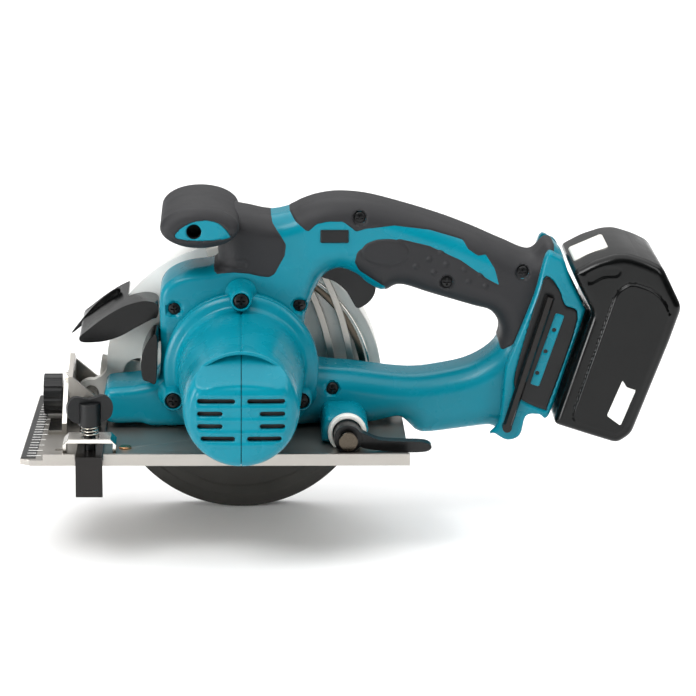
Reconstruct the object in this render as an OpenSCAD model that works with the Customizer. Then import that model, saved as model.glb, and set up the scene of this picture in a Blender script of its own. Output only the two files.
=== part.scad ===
// Cordless circular saw with a 136 mm blade.
// X runs along the cut (the front is -X), Y across it (the motor is at -Y), Z is up.
// The origin is on the sole, straight under the blade's axis, in the blade's own plane.

/* [Blade] */
// Diameter of the saw blade
blade_d = 136; // [120:1:145]
// How far the blade reaches below the sole at the deepest setting
cut_depth = 51; // [44:1:54]
// Thickness of the blade's plate
blade_t = 1.6; // [1:0.1:2.2]
// Number of carbide teeth
blade_teeth = 30; // [20:1:44]
// Bore of the blade
blade_bore = 20; // [15.88:0.01:22]

/* [Guards] */
// Gap between the blade's tips and the lower guard's rim
guard_gap = 3.3; // [2:0.1:5]
// Wall of the lower guard
guard_wall = 1.5; // [1:0.1:2]
// Outside width of the lower guard
guard_w = 13; // [11:0.5:15]
// Gap between the lower guard and the blade case
case_gap = 2.2; // [1:0.1:3]
// Wall of the cast blade case
case_wall = 2.6; // [2:0.1:4]

/* [Drive] */
// Module of the gear teeth
gear_module = 0.8; // [0.7:0.05:0.8]
// Teeth on the motor pinion
pinion_teeth = 18; // [16:1:19]
// Teeth on the spindle gear
gear_teeth = 34; // [30:1:34]
// Width of the spindle gear
gear_w = 9; // [6:0.5:10]
// Diameter of the spindle
spindle_d = 12; // [10:0.5:14]
// Diameter of the motor shaft
rotor_d = 6; // [5:0.5:6]

/* [Motor] */
// Outside radius of the motor barrel, at its flange
motor_r = 33; // [31:0.5:34]
// Outside radius of the motor barrel, at its end cap
motor_end_r = 28.5; // [26:0.5:29]
// Radius of the motor's mounting flange
motor_flange_r = 41.5; // [40:0.5:43]
// Distance of the motor's end cap from the blade's plane
motor_end_y = 151; // [142:1:158]
// Wall of the moulded housings
wall = 2.6; // [2:0.1:3.2]

/* [Handle] */
// Distance of the handle's middle plane from the blade's plane
handle_y = 38; // [37:0.5:39]
// Width of the handle
handle_w = 38; // [34:0.5:40]
// Thickness of the rubber over the handle
rubber_t = 2.4; // [1.5:0.1:3]
// Length of the front grip, across the saw
front_grip_l = 84; // [70:1:90]

/* [Battery] */
// Width of the battery pack
battery_w = 75; // [72:1:78]
// How far the pack leans back from upright
battery_lean = 17.5; // [17.5:0.1:17.6]
// Width of the battery mount
mount_w = 52; // [50:0.5:54]
// Clearance around sliding fits
slide_gap = 0.4; // [0.3:0.05:0.6]

/* [Base] */
// Thickness of the base plate
base_t = 3; // [2.5:0.1:3.2]
// Height of the turned up rim
rim_h = 6.2; // [5:0.1:6.5]
// Front end of the base, from the blade's axis
base_front = 115; // [110:1:125]
// Rear end of the base, from the blade's axis
base_rear = 88; // [86:0.5:89]
// Near edge of the base, from the blade's plane
base_near = 115; // [112:1:120]
// Far edge of the base, from the blade's plane
base_far = 13; // [12.5:0.1:14]
// Height of the bevel axis over the sole
bevel_z = 9; // [9:0.1:10]
// Radius of the bevel slot
bevel_slot_r = 28; // [27:0.5:29]
// Thickness of the steel brackets
steel_t = 2.5; // [2:0.1:3]

/* [Hidden] */
$fn = 72;

teal = "#0592A8";
charcoal = "#3C3C3E";
black = "#17181A";
silver = "#BDBAB0";
steel = "#B9B4AE";
dark_steel = "#55524E";

fit = 0.05;                        // radial clearance of a running fit
rub = 0.3;                         // clearance between faces that pass each other
arbor_z = blade_d / 2 - cut_depth;
blade_r = blade_d / 2;
motor_z = arbor_z + gear_module * (pinion_teeth + gear_teeth) / 2;
guard_r = blade_r + guard_gap + guard_wall;
case_r = guard_r + case_gap + case_wall;
case_near = 13;                    // near face of the blade case
case_far = 12;                     // far face of the blade case
case_bottom = 16;                  // lower edge of the blade case
pivot = [-82, 13];                 // depth pivot, in X and Z
bolt_at = [56, 11];                // depth bolt, in X and Z
guide_r = norm(bolt_at - pivot);
depth_sweep = 38;                  // turn of the base between deepest and shallowest
bevel_sweep = 45;
near_face = -handle_y - handle_w / 2;
motor_flange_y = -near_face;
far_face = -handle_y + handle_w / 2;
mount_near = -handle_y - mount_w / 2;
mount_far = -handle_y + mount_w / 2;
mount_foot = [165.5, 12];          // lower end of the battery face, in X and Z
flange_r = 15;
hub_r = 17;                        // boss that carries the lower guard
boss_near = 88;                    // near face of the boss round the depth bolt
knob_angle = 12.6;                 // where the bevel knob sits along its slot
quadrant_x = -93;                  // rear face of the bevel quadrant
quadrant_reach = norm([quadrant_x - steel_t - pivot[0], bevel_z + bevel_slot_r + 5.5 - pivot[1]]) + 0.6;
slot_over = 8.5;                   // how far the slot runs on past the knob's shank, in degrees
knob_y = -bevel_slot_r * cos(knob_angle);
knob_z = bevel_z + bevel_slot_r * sin(knob_angle);
wing_at = [-79, -103];             // wing bolt, in X and Y
rule_w = 14;
rule_t = 2.5;
slot_near = 18.5;                  // near edge of the blade slot
slot_far = 8;                      // far edge of the blade slot

// ---- outlines and helpers ----

// One point of a smooth curve through four neighbours
function spline_at(a, b, c, d, t) = 0.5 * (2 * b + (c - a) * t
    + (2 * a - 5 * b + 4 * c - d) * t * t + (3 * b - a - 3 * c + d) * t * t * t);

// A closed smooth curve through the points, with steps points on each stretch
function smooth(points, steps = 5) = let (n = len(points)) [for (i = [0 : n - 1])
    for (s = [0 : steps - 1]) spline_at(points[(i + n - 1) % n], points[i],
        points[(i + 1) % n], points[(i + 2) % n], s / steps)];

// Points on a circle from one angle to another
function arc(r, from, to, steps, at = [0, 0]) =
    [for (i = [0 : steps]) at + r * [cos(from + (to - from) * i / steps),
                                    sin(from + (to - from) * i / steps)]];

// Extrudes an outline drawn in X and Z from y0 to y1
module slab(y0, y1) translate([0, y1, 0]) rotate([90, 0, 0]) linear_extrude(y1 - y0) children();

// A round bar along Y, X or Z
module bar_y(at, y0, y1, r) translate([at[0], y1, at[1]]) rotate([90, 0, 0]) cylinder(h = y1 - y0, r = r);
module bar_x(at, x0, x1, r) translate([x0, at[0], at[1]]) rotate([0, 90, 0]) cylinder(h = x1 - x0, r = r);
module bar_z(at, z0, z1, r) translate([at[0], at[1], z0]) cylinder(h = z1 - z0, r = r);

// A ring along Y
module ring_y(at, y0, y1, r_out, r_in) difference() {
    bar_y(at, y0, y1, r_out);
    bar_y(at, y0 - 1, y1 + 1, r_in);
}

// A wedge of a ring, drawn in the plane, between two angles
module sector(r_out, r_in, from, to, at = [0, 0]) translate(at) difference() {
    circle(r = r_out);
    circle(r = r_in);
    polygon(concat([[0, 0]], arc(3 * r_out, to, from + 360, 12)));
}

// A box from one corner to the other
module box(a, b) translate(a) cube(b - a);

// A coiled wire along Z: polyhedron rings carried round a helix
module coil(r0, r1, length, turns, wire) {
    sides = 8;
    rings = ceil(turns * 14);
    points = [for (i = [0 : rings]) let (t = i / rings, a = 360 * turns * t, r = r0 + (r1 - r0) * t)
        for (s = [0 : sides - 1]) let (b = 360 * s / sides)
            [(r + wire / 2 * cos(b)) * cos(a), (r + wire / 2 * cos(b)) * sin(a),
             length * t + wire / 2 * sin(b)]];
    walls = [for (i = [0 : rings - 1]) for (s = [0 : sides - 1])
        let (n = (s + 1) % sides) [i * sides + s, (i + 1) * sides + s,
            (i + 1) * sides + n, i * sides + n]];
    caps = [[for (s = [0 : sides - 1]) s],
            [for (s = [sides - 1 : -1 : 0]) rings * sides + s]];
    polyhedron(points, concat(walls, caps));
}

// Whole outline of the body, without the hand opening
body_points = [[-13, 93], [-27, 90], [-36, 86], [-41.5, 81], [-43.5, 73], [-43, 55], [-43, 40], [-45, 30],
    [-58, 26.5], [-72, 24.5], [-73, 15], [-71, 6.5], [-54, 6], [-48, 4.5], [-30, 4.5], [0, 4.5], [40, 4.5],
    [67, 4.5], [78, 6.5], [86, 7.5], [91.5, 3], [95, 0], [102, -1], [129, 2.5], [136, 2.5], [143, -1.5],
    [150, 1.5], [153, 12], [160, 13], [165.5, 12], [174.5, 40.5], [183.3, 68.3], [183, 72.6], [175.7, 87.3],
    [173.4, 93.4], [171.4, 98.8], [164, 104], [155, 97], [140, 102.5], [124, 109.5], [107, 116], [86, 122.5],
    [67, 127.3], [52, 128.5], [41, 127], [33, 124.3], [26, 121], [15, 119], [2, 121.5], [-8, 122],
    [-13, 112], [-12, 101]];

// The hole that the hand goes through
opening_points = [[34, 62], [36, 70], [40, 80], [45, 87], [53, 90], [62, 86.5], [68, 81.5], [76, 78],
    [85, 81.5], [102, 76.5], [124, 70], [134, 67], [139, 60], [139.5, 52], [135, 44.5], [124, 37.5],
    [110, 33.7], [90, 31.5], [60, 34.8], [38, 37.5], [34.5, 45]];

// Where the rubber lies on the handle: above this line and right of the teal web
rubber_top_points = [[26, 121.5], [29, 117], [35.3, 111.8], [40, 116], [46, 117.4], [54, 117.4], [58, 114.5],
    [61, 112], [66, 113.6], [81, 115.2], [100, 112.6], [114, 108.3], [118, 107], [120.5, 102.5], [126, 98.8],
    [130, 99.5], [135, 92], [137.5, 83], [131, 86.5], [117, 96.5], [100, 104.4], [84, 108.2], [72, 107.6],
    [66, 105.5], [61.5, 100.5], [60.5, 95.5], [63, 90.5], [70, 86], [77, 81.5]];
rubber_low_points = [[78, 70], [100, 60], [136.5, 60], [140, 46], [146, 50], [150, 60], [156, 74], [164.5, 89],
    [166, 96], [168, 110], [120, 130], [50, 140], [20, 130]];

// Neck of the front grip, drawn on the body
neck_points = [[-14, 88.5], [-4, 89.6], [4, 89], [10, 87.5], [15, 87], [18, 89], [23.3, 99], [24, 105],
    [21, 110], [16.5, 116], [14.6, 125], [-16, 130]];

module body_shape() difference() {
    polygon(smooth(body_points, 4));
    polygon(smooth(opening_points, 5));
}

module rubber_shape() intersection() {
    body_shape();
    union() {
        polygon(concat(rubber_top_points, rubber_low_points));
        polygon(neck_points);
    }
}

// Solid of one clamshell half before it is hollowed
module half_solid(y0, y1) slab(y0, y1) body_shape();

// Everything that passes through the housing
module housing_cuts() {
    bar_y([0, motor_z], near_face - 5, near_face + wall, motor_flange_r - 4);
    slab(-49, far_face + 1) offset(delta = rub) gear_box_shape();
    on_lock() bar_x([0, 0], 10, 60, lock_r + rub);
    box([-38, near_face + wall, 8], [38, far_face + 1, motor_z + 33]);
    bar_y([0, motor_z], near_face + wall - 1, far_face + 1, 38);
    bar_y(bolt_at, -boss_near - 1, far_face + 1, 3.2);
    bar_y(trigger_pin, -handle_y - 9, -handle_y + 9, 1.5);
    bar_y(pivot, near_face - 1, far_face + 1, 9.6);
    slab(near_face + wall, far_face - wall) offset(delta = -wall - 3)
        intersection() {
            body_shape();
            translate([18, 60]) square([130, 80]);
        }
    // pocket of the trigger
    slab(-handle_y - 7.4, -handle_y + 7.4) polygon([[36, 76], [36, 99], [74, 99], [80, 74]]);
    // tunnel of the lock-off button
    box([41.5, near_face - 1, 105.5], [57.5, far_face + 1, 113.5]);
    mount_channel();
    // socket of the wrench's bent end
    bar_y([142.5, 7], mount_near - 1, -handle_y - 6, 3);
    for (s = screw_spots) {
        bar_y([s[0], s[1]], near_face - 1, far_face + 1, 1.7);
        bar_y([s[0], s[1]], near_face - 1, near_face + screw_head, 3.6);
    }
    for (s = motor_screw_spots) bar_y([s[0], motor_z + s[1]], near_face - 1, near_face + 24, 1.7);
    on_mount() translate([-rail_in - 6, -15, 18]) cube([6.1, 30, 52]);
    wrench_groove();
    // air slots under the motor
    for (i = [0 : 3]) box([-34 + i * 5, near_face - 1, 14], [-32 + i * 5, near_face + 4, 20]);
}

screw_spots = [[62.8, 119], [109.7, 84.5], [150, 89.5], [49, 25.3], [-35.5, 69.5], [31, 71.5]];

// Frame of the battery face: X along the outward normal, Z up the slide
module on_mount() translate([mount_foot[0], -handle_y, mount_foot[1]]) rotate([0, battery_lean, 0]) children();

rail_half = 19;                    // half width of the rail block of the pack
rail_in = 9;                       // how deep the rail block reaches into the mount
module mount_channel() on_mount() translate([-rail_in - slide_gap, -rail_half - slide_gap, 6])
    cube([rail_in + slide_gap + 20, 2 * (rail_half + slide_gap), 120]);

module boss_shape() polygon(smooth([[24, 4.5], [45, 4.5], [62, 4.5], [66.5, 8], [67, 13], [62, 18.3], [50, 19],
    [36, 19], [26, 18]], 4));

module mount_plate(y0, y1) slab(y0, y1) intersection() {
    body_shape();
    polygon([[134, -10], [139, 10], [141, 36], [144, 46], [156, 78], [162, 112], [200, 112], [200, -10]]);
}

// ---- housings ----

module housing_left() color(teal) difference() {
    union() {
        difference() {
            half_solid(near_face, -handle_y);
            slab(near_face - 1, near_face + rubber_t) rubber_shape();
        }
        slab(-boss_near, near_face + 1) difference() {
            boss_shape();
            circle_at([0, motor_z], motor_flange_r + rub);
        }
        mount_plate(mount_near, near_face + 1);
    }
    housing_cuts();
    slab(mount_near - 1, mount_near + 1.2) panel_shape();
}

module housing_right() color(teal) difference() {
    union() {
        difference() {
            half_solid(-handle_y, far_face);
            slab(far_face - rubber_t, far_face + 1) rubber_shape();
        }
        mount_plate(far_face - 1, mount_far);
    }
    housing_cuts();
    slab(mount_far - 1.2, mount_far + 1) panel_shape();
    // the far half stops short of the cast gear case
    slab(far_face - 7, far_face + 1) polygon([[-60, 0], [-60, 66], [38, 66], [38, 0]]);
}

module rubber_half(y0, y1) difference() {
    slab(y0, y1) rubber_shape();
    for (s = screw_spots) bar_y([s[0], s[1]], near_face - 1, far_face + 1, 3.6);
    mount_plate(mount_near, mount_far);
    box([41.5, near_face - 1, 105.5], [57.5, far_face + 1, 113.5]);
}

module handle_rubber_left() color(charcoal) rubber_half(near_face, near_face + rubber_t);
module handle_rubber_right() color(charcoal) rubber_half(far_face - rubber_t, far_face);

grip_mid = [-21.8, 117.9];
grip_rx = 20.7;
grip_rz = 10.9;
insert_t = 1.6;

// Rounded bar of the front grip: an oval carried across the saw
module grip_oval(inset) polygon([for (a = [0 : 10 : 350])
    grip_mid + [(grip_rx - inset) * cos(a), (grip_rz - inset) * sin(a)]]);

module front_grip() color(charcoal) difference() {
    union() {
        slab(-handle_y - front_grip_l / 2 + 4, near_face) grip_oval(0);
        slab(-handle_y - front_grip_l / 2 + insert_t, -handle_y - front_grip_l / 2 + 5) grip_oval(2.5);
        slab(far_face, -handle_y + front_grip_l / 2 - 4) grip_oval(0);
        slab(-handle_y + front_grip_l / 2 - 5, -handle_y + front_grip_l / 2 - insert_t) grip_oval(2.5);
        slab(near_face, far_face) difference() {
            grip_oval(0);
            body_shape();
        }
    }
    bar_y([-24.7, 116.7], -handle_y - front_grip_l / 2 - 1, -handle_y - front_grip_l / 2 + 12, 4);
}

module eye_shape() polygon(smooth([[-34.5, 113.5], [-31, 119], [-22, 122.8], [-12, 121.5], [-5.5, 114], [-12, 112.3],
    [-24, 111.8]], 5));

module front_grip_inserts() color(teal) for (y0 = [-handle_y - front_grip_l / 2,
        -handle_y + front_grip_l / 2 - insert_t]) difference() {
    slab(y0, y0 + insert_t) intersection() {
        eye_shape();
        grip_oval(2.8);
    }
    bar_y([-24.7, 116.7], y0 - 1, y0 + insert_t + 1, 4);
}

panel_points = [[162, 90], [157.5, 78], [154, 66], [146.5, 37], [146.5, 27], [150, 21], [162.5, 15.5],
    [165, 19], [179.5, 66], [172.5, 74], [169, 83]];
module panel_shape() polygon(panel_points);
panel_t = 1.2;                     // depth of the panel's seat

module mount_panel_left() color(charcoal) difference() {
    slab(mount_near - 0.4, mount_near + panel_t) panel_shape();
    wrench_groove();
}
module mount_panel_right() color(charcoal)
    slab(mount_far - panel_t, mount_far + 0.4) panel_shape();

// ---- motor ----

// The motor housing is a cup with a flange, an end cap and cooling slots
module motor_profile(inset) rotate([90, 0, 0]) rotate_extrude() polygon([
    [0, motor_flange_y], [motor_flange_r - inset, motor_flange_y],
    [motor_flange_r - inset, motor_flange_y + 4.5], [motor_r + 2 - inset, motor_flange_y + 10],
    [motor_r - inset, motor_flange_y + 15], [motor_end_r - inset, motor_end_y - 18 - inset],
    [motor_end_r - 1.5 - inset, motor_end_y - 9 - inset], [motor_end_r - 5.5 - inset, motor_end_y - 3 - inset],
    [motor_end_r - 10.5 - inset, motor_end_y - inset], [0, motor_end_y - inset]]);

motor_screw_spots = [[0, 40.5], [-36, -14], [32, -14]];

lug_l = 18;                        // length of the screw lugs on the motor housing
module motor_housing() color(teal) difference() {
    union() {
        difference() {
            union() {
                translate([0, 0, motor_z]) motor_profile(0);
                for (s = motor_screw_spots)
                    bar_y([s[0], motor_z + s[1]], near_face - lug_l, near_face, 5.2);
            }
            translate([0, 0, motor_z]) motor_profile(wall);
            bar_y([0, motor_z], near_face - 3, near_face + 1, motor_flange_r - 4);
        }
        ring_y([0, motor_z], -motor_end_y + 1, -motor_end_y + 13, 12, bearing_r);
    }
    for (s = motor_screw_spots) {
        bar_y([s[0], motor_z + s[1]], near_face - lug_l - 3, near_face + 1, 1.7);
        bar_y([s[0], motor_z + s[1]], near_face - lug_l - 6, near_face - lug_l, 4.3);
    }
    // the flange is cut flat over the base
    box([-50, -motor_end_y, motor_z - 50], [50, near_face + 1, base_t + 1.5]);
    // four rows of cooling slots in the end cap, the middle two broken by the seam
    for (row = [0 : 3]) for (side = [-1, 1]) {
        inner = row == 0 || row == 3 ? 3 : 10;
        z = motor_z + 6.5 - row * 6.6;
        box([side * (side > 0 ? inner : 23), -motor_end_y - 1, z - 1.1],
            [side * (side > 0 ? 23 : inner), -motor_end_y + 7, z + 1.1]);
    }
}

yoke_r = motor_end_r - wall;
module motor_yoke() color(dark_steel) ring_y([0, motor_z], -motor_end_y + 34, -motor_flange_y - 24,
    yoke_r, yoke_r - 2.2);
module motor_magnets() color("#2A2A2C") slab(-motor_end_y + 38, -motor_flange_y - 28)
    for (side = [0, 180]) sector(yoke_r - 2.21, yoke_r - 6.2, side - 60, side + 60, [0, motor_z]);

armature_r = yoke_r - 6.2 - 0.8;
module armature() color("#7A6A58") {
    bar_y([0, motor_z], -motor_end_y + 7, -24, rotor_d / 2);
    ring_y([0, motor_z], -motor_end_y + 40, -motor_flange_y - 32, armature_r, rotor_d / 2 - 0.01);
    ring_y([0, motor_z], -motor_end_y + 34, -motor_end_y + 40.01, armature_r - 3, rotor_d / 2 - 0.01);
    ring_y([0, motor_z], -motor_end_y + 20, -motor_end_y + 32, 10.5, rotor_d / 2 - 0.01);
}

bearing_r = 9.5;
fan_r = motor_end_r - wall - 1;
module motor_fan() color("#D8D4C8") difference() {
    union() {
        bar_y([0, motor_z], -motor_flange_y - 22, -motor_flange_y - 20, fan_r);
        bar_y([0, motor_z], -motor_flange_y - 22, -motor_flange_y - 10, 7);
        for (a = [0 : 30 : 330]) translate([0, -motor_flange_y - 20.5, motor_z]) rotate([0, a, 0])
            box([8, 0, -0.8], [fan_r - 1, 8, 0.8]);
    }
    bar_y([0, motor_z], -motor_flange_y - 30, -motor_flange_y, rotor_d / 2 - 0.01);
}

module brush_holders() color("#B08D3C") for (side = [-1, 1]) translate([0, -motor_end_y + 26, motor_z])
    scale([side, 1, 1]) difference() {
        box([12, -6, -5], [24, 6, 5]);
        box([11, -4 - fit, -3 - fit], [25, 4 + fit, 3 + fit]);
    }
module carbon_brushes() color("#2B2B2B") for (side = [-1, 1]) translate([0, -motor_end_y + 26, motor_z])
    scale([side, 1, 1]) box([10.7, -4, -3], [20, 4, 3]);

// Flank of an involute tooth at radius r, as an angle from the tooth's middle
function half_tooth(m, teeth, r, thin) = let (
        rb = m * teeth / 2 * cos(20), rp = m * teeth / 2,
        inv = function (x) (x <= rb ? 0 : sqrt(pow(x / rb, 2) - 1) * 180 / PI - acos(rb / x)))
    90 / teeth * thin + inv(rp) - inv(r);

module gear_shape(m, teeth, thin, phase, top) {
    rp = m * teeth / 2;
    rb = rp * cos(20);
    radii = [rp - 1.2 * m, max(rb, rp - 0.9 * m), rp - 0.3 * m, rp, rp + top * m / 2, rp + top * m];
    polygon([for (i = [0 : teeth - 1]) let (a = phase + 360 * i / teeth) each concat(
        [for (r = radii) let (h = half_tooth(m, teeth, r, thin)) r * [cos(a - h), sin(a - h)]],
        [for (k = [5 : -1 : 0]) let (h = half_tooth(m, teeth, radii[k], thin))
            radii[k] * [cos(a + h), sin(a + h)]])]);
}

gear_y = 30;                       // middle of the gears
module motor_pinion() color(steel) difference() {
    slab(-gear_y - gear_w / 2 - 1, -gear_y + gear_w / 2 + 1) translate([0, motor_z])
        gear_shape(gear_module, pinion_teeth, 0.8, -90, 0.8);
    bar_y([0, motor_z], -gear_y - 20, -gear_y + 20, rotor_d / 2 - 0.01);
}

module bearing(at, y0, y1, r_out, r_in) ring_y(at, y0, y1, r_out, r_in);
module rotor_bearings() color(steel) {
    bearing([0, motor_z], -motor_end_y + 6, -motor_end_y + 13, bearing_r, rotor_d / 2 + fit);
    bearing([0, motor_z], -47, -40, bearing_r, rotor_d / 2 + fit);
}

// ---- gear case and blade drive ----

// The cast case: a wall behind the blade, a rim over it, an arm to the depth pivot and a gear box
boss_end = 5.3;                    // blade side face of the boss
module gear_case() color(silver) difference() {
    union() {
        slab(-case_near, -case_near + case_wall) case_wall_shape();
        slab(-case_near, case_far) difference() {
            sector(case_r, case_r - case_wall, 0, 103, [0, arbor_z]);
            below_case();
        }
        slab(case_far - case_wall, case_far) difference() {
            sector(case_r, 52, 0, 103, [0, arbor_z]);
            below_case();
        }
        slab(-case_near - 5, -case_near + 0.4) arm_shape();
        slab(-48, -case_near + 0.5) gear_box_shape();
        bar_y([0, arbor_z], -case_near, -boss_end, hub_r);
        slab(-case_near - 2, -case_near) sector(case_r, case_r - 10, 4, 60, [0, arbor_z]);
    }
    // room for the gears, and the seats of the bearings
    slab(-38, -case_near - 2.4) offset(delta = -gear_box_wall) gear_box_shape();
    bar_y([0, motor_z], -49, -37.9, bearing_r);
    bar_y([0, arbor_z], -45, -37.9, 10.9);
    bar_y([0, arbor_z], -38, 0, cover_r);
    bar_y(pivot, -30, 0, 4.06);
    on_lock() bar_x([0, 0], 10, 60, lock_pin_r + fit);
    // room for the nut of the depth bolt
    bar_y(bolt_at, -20, 20, 7);
}

module below_case() translate([-200, -200]) square([400, 200 + case_bottom]);

module case_wall_shape() difference() {
    circle_at([0, arbor_z], case_r);
    below_case();
    sector(case_r + 1, 50, cover_from, cover_to, [0, arbor_z]);
}
module circle_at(at, r) translate(at) circle(r = r);

module arm_shape() union() {
    polygon(smooth([[-40, 62], [-54, 54], [-65, 48], [-71.5, 42.5], [-73, 34], [-74.5, 24], [-84, 18.5], [-88.5, 13],
        [-84, 7.5], [-80, 6], [-73, 9], [-67, 18], [-62, 30], [-52, 33], [-38, 33]], 4));
    circle_at(pivot, 7.5);
}

gear_box_wall = 1.6;
gear_tip_r = gear_module * gear_teeth / 2 + 0.7 * gear_module;
cover_r = 15;                      // radius of the bearing cover in the boss
module gear_box_shape() hull() {
    circle_at([0, motor_z], 17);
    circle_at([0, arbor_z], gear_tip_r + 0.5 + gear_box_wall);
}

// Cover that carries the blade side bearing
module gear_cover() color(silver) difference() {
    bar_y([0, arbor_z], -21.5, -boss_end - 0.9, cover_r);
    bar_y([0, arbor_z], -22, -12, 8.1);
    bar_y([0, arbor_z], -13, 0, spindle_d / 2 + 0.6);
}

spindle_r = spindle_d / 2;
module spindle() color(steel) difference() {
    union() {
        bar_y([0, arbor_z], -44, 0.6, spindle_r);
        bar_y([0, arbor_z], -6.1, -5, 9);
    }
    bar_y([0, arbor_z], -16, 4, 3);
}
module spindle_gear() color(steel) difference() {
    slab(-gear_y - gear_w / 2, -gear_y + gear_w / 2) translate([0, arbor_z])
        gear_shape(gear_module, gear_teeth, 0.8, 90 + 180 / gear_teeth, 0.7);
    bar_y([0, arbor_z], -gear_y - 20, -gear_y + 20, spindle_r);
}
module spindle_bearings() color(steel) {
    bearing([0, arbor_z], -44.5, -38, 10.9, spindle_r + fit);
    bearing([0, arbor_z], -21.4, -12, 8.1, spindle_r + fit);
}

// Parts stacked on the spindle nose: inner flange, blade, outer flange, bolt
module inner_flange() color(dark_steel) difference() {
    union() {
        bar_y([0, arbor_z], -5, -blade_t / 2, flange_r);
        bar_y([0, arbor_z], -blade_t / 2 - 0.01, blade_t / 2 - 0.1, blade_bore / 2 - 0.02);
    }
    bar_y([0, arbor_z], -6, 3, spindle_r);
}
module saw_blade() color("#8F9194") difference() {
    slab(-blade_t / 2, blade_t / 2) translate([0, arbor_z]) polygon([for (i = [0 : blade_teeth - 1])
        let (a = 360 * i / blade_teeth, step = 360 / blade_teeth) each [
            (blade_r - 5) * [cos(a - step * 0.46), sin(a - step * 0.46)],
            (blade_r - 0.8) * [cos(a - step * 0.24), sin(a - step * 0.24)],
            blade_r * [cos(a), sin(a)],
            (blade_r - 5) * [cos(a + step * 0.28), sin(a + step * 0.28)]]]);
    bar_y([0, arbor_z], -3, 3, blade_bore / 2);
    for (i = [0 : 3]) translate([0, 0, arbor_z]) rotate([0, i * 90 + 20, 0])
        bar_y([blade_r - 22, 0], -3, 3, 2.6);
}
flange_far = 3.8;
module outer_flange() color(dark_steel) difference() {
    bar_y([0, arbor_z], blade_t / 2, flange_far, flange_r);
    bar_y([0, arbor_z], 0, 6, 3.05);
}
module arbor_bolt() color("#2E2E30") difference() {
    union() {
        bar_y([0, arbor_z], -14, flange_far + 0.01, 2.98);
        bar_y([0, arbor_z], flange_far, flange_far + 1.2, 9);
        bar_y([0, arbor_z], flange_far + 1.19, flange_far + 6.7, 6);
    }
    translate([0, flange_far + 7, arbor_z]) rotate([90, 0, 0]) cylinder(h = 4, r = 2.9, $fn = 6);
}

// ---- covers, lamp and guard ----

cover_far = 18;
cover_from = 104;                  // where the clear cover starts and ends, as angles round the arbor
cover_to = 168;
// its lower end leaves room for the bevel quadrant, which swings about the depth pivot
module chip_cover() color("#E9ECE8") difference() {
    union() {
        slab(-12.5, cover_far) sector(case_r + 1.6, case_r + 0.2, cover_from + 0.3, cover_to, [0, arbor_z]);
        slab(-12.5, -10.7) sector(case_r + 1.6, 50.4, cover_from + 0.3, cover_to, [0, arbor_z]);
        slab(cover_far - 1.8, cover_far) sector(case_r + 1.6, 34, cover_from + 0.3, cover_to, [0, arbor_z]);
    }
    bar_y(pivot, -14, cover_far + 1, quadrant_reach);
}

// its lower edge stays over the path of the bevel quadrant
deflector_points = [[-45, 68], [-52, 70], [-63, 67], [-74, 60.5], [-83, 53.5], [-87, 50], [-86, 47.3],
    [-80, 47], [-73, 47.8], [-65, 50.5], [-57, 55], [-48, 60], [-45, 61.5]];
module deflector_shape() polygon(smooth(deflector_points, 4));
module chip_deflector() color(black) {
    slab(-40, -18.4) deflector_shape();
    slab(-18.5, cover_far) difference() {
        deflector_shape();
        circle_at([0, arbor_z], case_r + 2);
    }
    slab(-2, 0.5) polygon(smooth([[-93, 42.5], [-90, 47], [-80, 59], [-68, 68], [-67, 64], [-78, 56.5],
        [-85, 49]], 4));
}

module lamp_housing() color(black) difference() {
    slab(-66, -44) polygon(smooth([[-44.5, 57], [-49, 55], [-53, 45], [-52.5, 34], [-49, 32], [-45.5, 31],
        [-44.8, 40]], 5));
    bar_x([-55, 40], -56, -49, 4.1);
}
module lamp_lens() color("#E8F0F0") bar_x([-55, 40], -53.5, -49.01, 4);

// Lower guard: two cheeks and a rim round the blade, on a hub ring
module lower_guard() color("#33322F") difference() {
    union() {
        slab(-guard_w / 2, -guard_w / 2 + guard_wall)
            sector(guard_r, hub_r + fit + 0.3, 172, 350, [0, arbor_z]);
        slab(-guard_w / 2, guard_w / 2) sector(guard_r, guard_r - guard_wall, 172, 350, [0, arbor_z]);
        slab(guard_w / 2 - guard_wall, guard_w / 2) sector(guard_r, 44, 172, 350, [0, arbor_z]);
        bar_y([0, arbor_z], -7.8, -guard_w / 2 + guard_wall, 22);
    }
    bar_y([0, arbor_z], -12, 0, hub_r + fit);
}

// Torsion spring that swings the guard shut, round the same boss
module guard_spring() color(steel) translate([0, -8.5, arbor_z]) rotate([90, 0, 0])
    coil(hub_r + 1.9, hub_r + 1.9, 1.3, 1.6, 0.9);

// ---- handle controls ----

trigger_pin = [42, 91];
module trigger() color(black) difference() {
    slab(-handle_y - 7, -handle_y + 7) polygon(smooth([[38, 88], [41, 94.5], [50, 95], [62, 95], [69, 91],
        [72, 84], [72, 76.5], [69.5, 71.5], [65, 68], [62, 67.6], [59.5, 71.5], [56, 77], [50, 82],
        [43, 84.5]], 4));
    bar_y(trigger_pin, -60, 0, 1.55);
}
module trigger_switch() color("#2A2C30") {
    box([60, -handle_y - 9, 100], [84, -handle_y + 9, 107]);
    bar_y(trigger_pin, -handle_y - 9, -handle_y + 9, 1.5);
}

module lock_off_button() color(black) box([42, near_face - 1, 106], [57, far_face + 1, 113]);

// Frame of the shaft lock: X points outward from the spindle
lock_y = 23.5;
lock_r = 4.2;
lock_pin_r = 1.75;
lock_angle = 147;
module on_lock() translate([0, -lock_y, arbor_z]) rotate([0, -lock_angle, 0]) children();
module shaft_lock() color(black) on_lock() {
    bar_x([0, 0], 52, 59, lock_r);
    bar_x([0, 0], spindle_r + 4, 52.01, lock_pin_r);
}

module terminal_block() color("#1D1E20") on_mount() translate([-rail_in - 5, 0, 0]) {
    translate([0, -14, 20]) cube([4, 28, 46]);
    for (s = [-1, 1]) translate([3.99, s * 8 - 1, 26]) cube([4, 2, 26]);
}

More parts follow.
